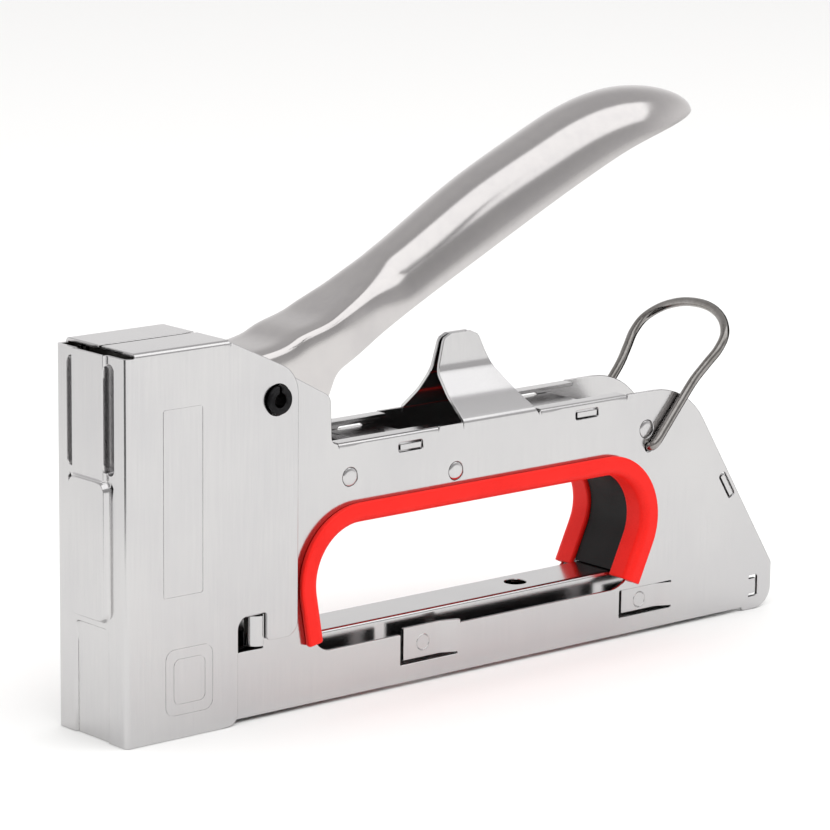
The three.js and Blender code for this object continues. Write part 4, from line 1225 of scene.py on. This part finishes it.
# ------------------------------------------------------------------ handle
@dataclass
class Handle:
    """The deep-drawn handle, open below. Lengths in millimetres."""

    half: float = 10.3             # half its width at the pivot
    wall: float = 1.1
    tip_share: float = 0.83        # share of its length where its width starts to round off
    fall: float = 0.70             # share of its length where its crown starts to come down
    stations: int = 150            # steps along it and across it
    around: int = 56

    def __post_init__(self) -> None:
        """Takes the pivot from the handle's joint."""
        pivot = Vector(find_joint("handle_pivot")["pos_m"])
        self.pivot_x = DATUM.x_of(pivot)
        self.pivot_z = pivot.z / MM
        knots = [(1, -6.2), (18, 2.8), (29.8, 8.9), (44, 16.4), (68.7, 28.8), (95.7, 41.6),
                 (115.3, 49.3), (139, 54.7)]
        self.rim = through_points([(self.pivot_x + a, self.pivot_z + b) for a, b in knots], self.stations)

    def crown(self, share: float) -> float:
        """Gives the height of the crown above the rim, before it comes down at the tip.

        Args:
            share: A share of the handle's length.

        Returns:
            The height there.
        """
        heights = [(0, 17), (0.10, 13.4), (0.18, 11.4), (0.24, 11.4), (0.34, 12.9), (0.55, 14.25),
                   (self.fall, 13.85), (1.0, 13.85)]
        for (start, low), (end, high) in zip(heights, heights[1:]):
            if share <= end:
                return low + (high - low) * ease(start, end, share)
        return heights[-1][1]

    def station(self, share: float) -> tuple[float, float, float]:
        """Gives the section at a share of the handle's length.

        Args:
            share: The share.

        Returns:
            Its half width, its height, and its squareness, which is 2 for an ellipse.
        """

        def past(start: float) -> float:
            """Gives how much of the length from a share to the tip lies behind."""
            return max((share - start) / (1 - start), 0.0)

        plan = math.sqrt(max(1 - past(self.tip_share) ** 2, 0.0))
        crown = max(1 - past(self.fall) ** 2, 0.0) ** 0.6
        waist = 0.8 * ease(0.17, 0.25, share) * (1 - ease(0.25, 0.5, share))
        swell = 0.8 * ease(0.35, 0.8, share)
        square = 7 - 4.9 * ease(0.16, 0.33, share)
        return (self.half - waist + swell) * plan, self.crown(share) * crown, square

    def place(self, u: float, v: float) -> Vector:
        """Places a point of the outer skin.

        Args:
            u: Share of the way round the section.
            v: Share of the way along the handle, where the steps get shorter towards the tip.

        Returns:
            The place.
        """
        share = 1 - (1 - v) ** 1.5 if v > 0.5 else v / 0.5 * (1 - 0.5 ** 1.5)
        at = min(share * self.stations, self.stations - 1e-6)
        index = int(at)
        base = self.rim[index].lerp(self.rim[index + 1], at - index)
        tangent = (self.rim[index + 1] - self.rim[index]).normalized()
        width, height, square = self.station(share)
        turn = math.pi * u
        cosine, sine = math.cos(turn), math.sin(turn)
        across = math.copysign(abs(cosine) ** (2 / square), cosine)
        up = abs(sine) ** (2 / square)
        return DATUM.at(base.x - tangent.y * height * up, -width * across, base.y + tangent.x * height * up)

    def build(self) -> bpy.types.Object:
        """Builds the handle's skin, its wall and the ears round the pivot.

        Returns:
            The handle.
        """
        blank = Blank("drawn_handle")
        blank.patch(self.around, self.stations, self.place)
        blank.weld()
        top = max(blank.bm.faces, key=lambda face: face.calc_center_median().z)
        bmesh.ops.recalc_face_normals(blank.bm, faces=blank.bm.faces[:])
        if top.normal.z < 0:
            bmesh.ops.reverse_faces(blank.bm, faces=blank.bm.faces[:])
        blank.thicken(self.wall)
        ear = closed_outline([(-8, 2, 5), (-8, -8, 7), (6, -9, 5), (17.0, -2.0, 2.5), (19.2, 3.0, 6),
                              (24, 6.6), (20, 11)], 7)
        for side in Side:
            outer = side.value * (self.half - 0.04)
            blank.prism(ear, lambda a, b, y=outer: DATUM.at(self.pivot_x + a, y, self.pivot_z + b),
                        Vector((0, -side.value * self.wall * MM, 0)))
        return blank.piece("handle", POLISHED, ["handle_shell"], smooth=40)


# ------------------------------------------------------------------ wire, pins and springs
@dataclass
class Wirework:
    """The bail, the rolled pin, the rivets and both springs. Lengths in millimetres."""

    bail_wire: float = 1.15        # radii of the three wires
    main_wire: float = 1.2
    pusher_wire: float = 0.4
    bail_tilt: float = 49.0        # how far the bail leans back from flat, in degrees
    main_turns: int = 10
    pusher_turns: int = 22
    pin_split: float = 11.0        # angle of the pin's split, in degrees

    def tube(self, name: str, path: Sequence[Vector], radius: float, sides: int) -> Blank:
        """Sweeps a round wire along a path without twisting it.

        Args:
            name: Name of the piece.
            path: Middle of the wire.
            radius: Radius of the wire.
            sides: Sides of its section.

        Returns:
            The wire, not yet a piece.
        """
        section = ring(0, 0, radius * MM, sides)
        frames = []
        first = Vector((0, 0, 1))
        for i in range(len(path)):
            ahead = (path[min(i + 1, len(path) - 1)] - path[max(i - 1, 0)]).normalized()
            if abs(first.dot(ahead)) > 0.98:
                first = Vector((1, 0, 0))
            first = (first - ahead * first.dot(ahead)).normalized()
            frames.append((first, ahead.cross(first)))
        blank = Blank(name)
        blank.sweep(section, path, frames)
        return blank

    def build_bail(self) -> bpy.types.Object:
        """Builds the bail from one bent wire.

        Returns:
            The bail.
        """
        _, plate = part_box("right_side_plate")
        out = plate.y / MM
        half = [(out - 1.9, 0), (out - 0.2, 0), (out + 1.1, 0.5), (out + 1.55, 2.2), (out + 1.55, 5),
                (out + 1.5, 12), (out + 1.6, 20), (out + 2.6, 25.5), (out + 3.5, 30), (out + 2.7, 34.5),
                (out - 0.9, 38.4), (out - 6.1, 40.8)]
        run = half + [(0, 41.5)] + [(-y, reach) for y, reach in reversed(half)]
        foot = Vector(find_joint("bail_swing")["pos_m"])
        tilt = math.radians(self.bail_tilt)
        knots = [foot + Vector((reach * math.cos(tilt), y, reach * math.sin(tilt))) * MM for y, reach in run]
        blank = self.tube("wire_bail", through_points(knots, 220), self.bail_wire, 20)
        return blank.piece("bail", DRAWN_WIRE, ["bail"], smooth=50)

    def build_pin(self) -> bpy.types.Object:
        """Builds the rolled pivot pin, with the split along it.

        Returns:
            The pin.
        """
        low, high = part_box("pivot_pin")
        middle = (low + high) / 2
        outer = (high.z - low.z) / 2
        bore = outer * 0.5
        start = 90 + self.pin_split / 2
        turns = [math.radians(turn) for turn in spread(start, start + 360 - self.pin_split, 48)]
        wall = [(outer * math.cos(t), outer * math.sin(t)) for t in turns]
        wall += [(bore * math.cos(t), bore * math.sin(t)) for t in reversed(turns)]
        blank = Blank("rolled_pivot_pin")
        blank.prism(wall, lambda a, b: Vector((middle.x + a, low.y, middle.z + b)),
                    Vector((0, high.y - low.y, 0)))
        return blank.piece("frame", BLACK_OXIDE, ["pivot_pin"], edge=0.35)

    def build_rivet(self, node: str) -> bpy.types.Object:
        """Builds a rivet with slightly domed heads, turned about its own axis.

        Args:
            node: The CAD node.

        Returns:
            The rivet.
        """
        low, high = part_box(node)
        middle = (low + high) / 2
        body = (high.z - low.z) / 2
        shank = SHANK * MM
        half = high.y
        between = half - 1.6 * MM
        profile = [(0, half), (0.6 * shank, half - 0.02 * MM), (0.9 * shank, half - 0.10 * MM),
                   (shank, half - 0.25 * MM), (shank, between), (body, between), (body, 0)]
        profile += [(radius, -y) for radius, y in reversed(profile[:-1])]
        blank = Blank(f"{node}_turned")
        verts = [blank.bm.verts.new(middle + Vector((radius, y, 0))) for radius, y in profile]
        edges = [blank.bm.edges.new(pair) for pair in zip(verts, verts[1:])]
        bmesh.ops.spin(blank.bm, geom=verts + edges, cent=middle, axis=(0, 1, 0), angle=2 * math.pi,
                       steps=40, use_merge=True)
        blank.weld()
        blank.turn_out(blank.bm.verts[:])
        return blank.piece("frame", PLATED, [node], smooth=40)

    def coil(self, node: str, axis: int, turns: float, wire: float, sides: int) -> Blank:
        """Winds a spring in the space of its CAD node.

        Args:
            node: The CAD node.
            axis: 0 for a spring along X, 2 for one along Z.
            turns: Turns of wire.
            wire: Radius of the wire.
            sides: Sides of the wire.

        Returns:
            The wound spring, not yet a piece.
        """
        low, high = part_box(node)
        middle = (low + high) / 2
        others = [1, 2] if axis == 0 else [0, 1]
        radius = (high[others[0]] - low[others[0]]) / 2 - wire * MM
        length = high[axis] - low[axis] - 2 * wire * MM
        closed = 1.0 / turns
        path = []
        steps = round(turns * 28)
        for i in range(steps + 1):
            share = i / steps
            turn = 2 * math.pi * turns * share
            pitch = max(2 * wire * MM / length, 1e-6)
            rise = (pitch * share / closed if share < closed else
                    1 - pitch * (1 - share) / closed if share > 1 - closed else
                    pitch + (1 - 2 * pitch) * (share - closed) / (1 - 2 * closed))
            point = middle.copy()
            point[axis] = low[axis] + wire * MM + length * rise
            point[others[0]] += radius * math.cos(turn)
            point[others[1]] += radius * math.sin(turn)
            path.append(point)
        return self.tube(f"{node}_coil", path, wire, sides)

    def build_springs(self) -> list[bpy.types.Object]:
        """Builds the two springs, each on a mesh of its own.

        Returns:
            The main spring and the pusher spring.
        """
        wound = self.coil("main_spring", 2, self.main_turns, self.main_wire, 12)
        main = wound.piece("frame", DRAWN_WIRE, ["main_spring"], smooth=60)
        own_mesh(main)
        wound = self.coil("pusher_spring", 0, self.pusher_turns, self.pusher_wire, 8)
        feed = wound.piece("magazine", DRAWN_WIRE, ["pusher_spring"], smooth=60)
        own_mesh(feed)
        return [main, feed]

    def build(self) -> list[bpy.types.Object]:
        """Builds all of these pieces and returns them."""
        return [self.build_bail(), self.build_pin(), *(self.build_rivet(node) for node in RIVETS),
                *self.build_springs()]


# ------------------------------------------------------------------ pieces that stay as they are
@dataclass(frozen=True)
class Inner:
    """The plain inner pieces, which keep their CAD shape and get their finish."""

    edge: float = 0.15             # radius of their edges, in millimetres

    def dress(self) -> list[bpy.types.Object]:
        """Gives each shown CAD node its finish and soft edges.

        Returns:
            The nodes.
        """
        by_slot = {finish.slot: finish for finish in FINISHES}
        dressed = []
        for row in frame["record"]["subparts"]:
            node = frame["nodes"][row["node"]]
            if node.hide_render:
                continue
            finish = by_slot[row["material_slot"]]
            node.data.materials.clear()
            node.data.materials.append(finish.material())
            join = node.modifiers.new("join", "WELD")
            join.merge_threshold = 1e-6
            soften(node, self.edge, "ANGLE")
            dressed.append(node)
        return dressed


# ------------------------------------------------------------------ studio
@dataclass(frozen=True)
class Studio:
    """Floor, light and camera."""

    lens: float = 173.3            # focal length of the camera, in millimetres
    yaw: float = -40.56            # its direction, in degrees
    pitch: float = 11.976
    roll: float = 0.598
    place: tuple[float, float, float] = (-0.611156, -0.705902, 0.25914)
    floor_size: float = 12.0       # half the floor's side, in metres
    dome_energy: float = 1.1       # energy and angle, in degrees, of the even light from above
    dome_angle: float = 120.0

    def build_floor(self) -> None:
        """Lays the plain pale floor."""
        mesh = bpy.data.meshes.new("studio_floor")
        bm = bmesh.new()
        bmesh.ops.create_grid(bm, x_segments=1, y_segments=1, size=self.floor_size)
        bm.to_mesh(mesh)
        bm.free()
        floor = bpy.data.objects.new("studio_floor", mesh)
        bpy.context.scene.collection.objects.link(floor)
        paint = bpy.data.materials.new("matt_white_board")
        paint.use_nodes = True
        shader = paint.node_tree.nodes["Principled BSDF"]
        shader.inputs["Base Color"].default_value = linear("#F7F7F6")
        shader.inputs["Roughness"].default_value = 0.9
        mesh.materials.append(paint)
        floor.location.z = -0.0001

    def build_world(self) -> None:
        """Fills the room with soft light that falls off towards the camera's side."""
        world = bpy.data.worlds.new("soft_room")
        bpy.context.scene.world = world
        world.use_nodes = True
        tree = world.node_tree
        tree.nodes.clear()
        direction = add_node(tree, "ShaderNodeTexCoord").outputs["Generated"]
        behind = add_node(tree, "ShaderNodeVectorMath", {"operation": "DOT_PRODUCT"})
        tree.links.new(direction, behind.inputs[0])
        behind.inputs[1].default_value = (-0.37, -0.88, 0.30)
        share = add_node(tree, "ShaderNodeMapRange", {"interpolation_type": "SMOOTHSTEP"},
                         Value=behind.outputs["Value"], From_Min=-0.15, From_Max=0.95, To_Min=0.0,
                         To_Max=1.0).outputs["Result"]
        height = add_node(tree, "ShaderNodeSeparateXYZ", Vector=direction).outputs["Z"]
        raised = add_node(tree, "ShaderNodeMapRange", {"interpolation_type": "SMOOTHSTEP"}, Value=height,
                          From_Min=0.15, From_Max=0.75, To_Min=0.95, To_Max=0.62).outputs["Result"]
        level = add_node(tree, "ShaderNodeMix", {"data_type": "FLOAT"}, Factor=share, A=raised,
                         B=0.42).outputs["Result"]
        glow = add_node(tree, "ShaderNodeBackground", Strength=level, Color=(1.0, 0.99, 0.99, 1.0))
        tree.links.new(glow.outputs[0], add_node(tree, "ShaderNodeOutputWorld").inputs["Surface"])

    def add_softbox(self, name: str, place: Vector, size: tuple[float, float], radiance: float,
                    mirrored: bool = True) -> None:
        """Hangs a rectangular softbox that points at the middle of the tool.

        Args:
            name: Its name.
            place: Where it hangs.
            size: Its two sides, in metres.
            radiance: How bright its face is.
            mirrored: Whether the metal mirrors it.
        """
        data = bpy.data.lights.new(name, "AREA")
        data.shape = "RECTANGLE"
        data.size, data.size_y = size
        data.energy = radiance * math.pi * size[0] * size[1]
        lamp = bpy.data.objects.new(name, data)
        lamp.location = place
        aim = Vector((0.0, 0.0, 0.06)) - place
        lamp.rotation_mode = "QUATERNION"
        lamp.rotation_quaternion = aim.to_track_quat("-Z", "Y")
        lamp.visible_glossy = mirrored
        bpy.context.scene.collection.objects.link(lamp)

    def add_dome(self) -> None:
        """Adds an even light from above that the metal doesn't mirror."""
        data = bpy.data.lights.new("even_dome", "SUN")
        data.energy = self.dome_energy
        data.angle = math.radians(self.dome_angle)
        lamp = bpy.data.objects.new("even_dome", data)
        lamp.visible_glossy = False
        bpy.context.scene.collection.objects.link(lamp)

    def add_card(self, name: str, corners: Sequence[tuple[float, float, float]]) -> None:
        """Sets up a black card that only shows in what the metal mirrors.

        Args:
            name: Its name.
            corners: Its corners, in metres.
        """
        mesh = bpy.data.meshes.new(name)
        bm = bmesh.new()
        bm.faces.new([bm.verts.new(corner) for corner in corners])
        bm.to_mesh(mesh)
        bm.free()
        card = bpy.data.objects.new(name, mesh)
        bpy.context.scene.collection.objects.link(card)
        paint = bpy.data.materials.get("matt_black_card") or bpy.data.materials.new("matt_black_card")
        paint.use_nodes = True
        shader = paint.node_tree.nodes["Principled BSDF"]
        shader.inputs["Base Color"].default_value = linear("#101010")
        shader.inputs["Roughness"].default_value = 1.0
        mesh.materials.append(paint)
        card.visible_camera = card.visible_diffuse = card.visible_shadow = False

    def build_camera(self) -> None:
        """Sets the camera."""
        yaw, pitch, roll = (math.radians(v) for v in (self.yaw, self.pitch, self.roll))
        back = Vector((math.sin(yaw) * math.cos(pitch), -math.cos(yaw) * math.cos(pitch), math.sin(pitch)))
        right = Vector((0, 0, 1)).cross(back).normalized()
        up = back.cross(right)
        right, up = (right * math.cos(roll) + up * math.sin(roll),
                     up * math.cos(roll) - right * math.sin(roll))
        data = bpy.data.cameras.new("camera")
        data.lens = self.lens
        data.sensor_width = 36.0
        data.clip_start, data.clip_end = 0.05, 60.0
        camera = bpy.data.objects.new("camera", data)
        turn = Matrix((right, up, back)).transposed().to_4x4()
        camera.matrix_world = Matrix.Translation(Vector(self.place)) @ turn
        bpy.context.scene.collection.objects.link(camera)
        bpy.context.scene.camera = camera

    def build(self) -> None:
        """Builds the whole studio."""
        self.build_floor()
        self.build_world()
        self.add_softbox("front_softbox", Vector((-0.05, -0.55, 0.95)), (2.2, 0.95), 1.12)
        self.add_softbox("overhead_softbox", Vector((0.0, 0.1, 1.3)), (1.6, 1.4), 0.28, mirrored=False)
        self.add_dome()
        self.add_card("front_card", [(-0.26, -0.20, 0.0004), (-0.62, -0.64, 0.0004),
                                     (-0.78, -0.08, 0.0004), (-0.30, -0.04, 0.0004)])
        self.add_card("right_card", [(0.15, -0.045, 0.0), (0.15, 0.06, 0.0), (0.15, 0.06, 0.12),
                                     (0.15, -0.045, 0.12)])
        self.add_card("streak_card", [(0.055, -0.43, 0.31), (0.10, -0.43, 0.335), (0.12, -0.35, 0.44),
                                      (0.075, -0.35, 0.415)])
        self.build_camera()
        bpy.context.scene.view_settings.view_transform = "Standard"


def main() -> None:
    """Builds the tool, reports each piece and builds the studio."""
    contour = GripContour()
    grip = Grip(contour)
    pieces = [NoseCover().build(),
              *(SidePlate(side, contour).build() for side in Side),
              *(grip.build_trim(side) for side in Side),
              grip.build_liner(),
              Handle().build(),
              *Wirework().build(),
              *Inner().dress()]
    for piece in pieces:
        LOG.info("%s: %d faces, %s", piece.name, len(piece.data.polygons), piece.active_material.name)
    Studio().build()
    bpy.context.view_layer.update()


if __name__ == "__main__":
    main()
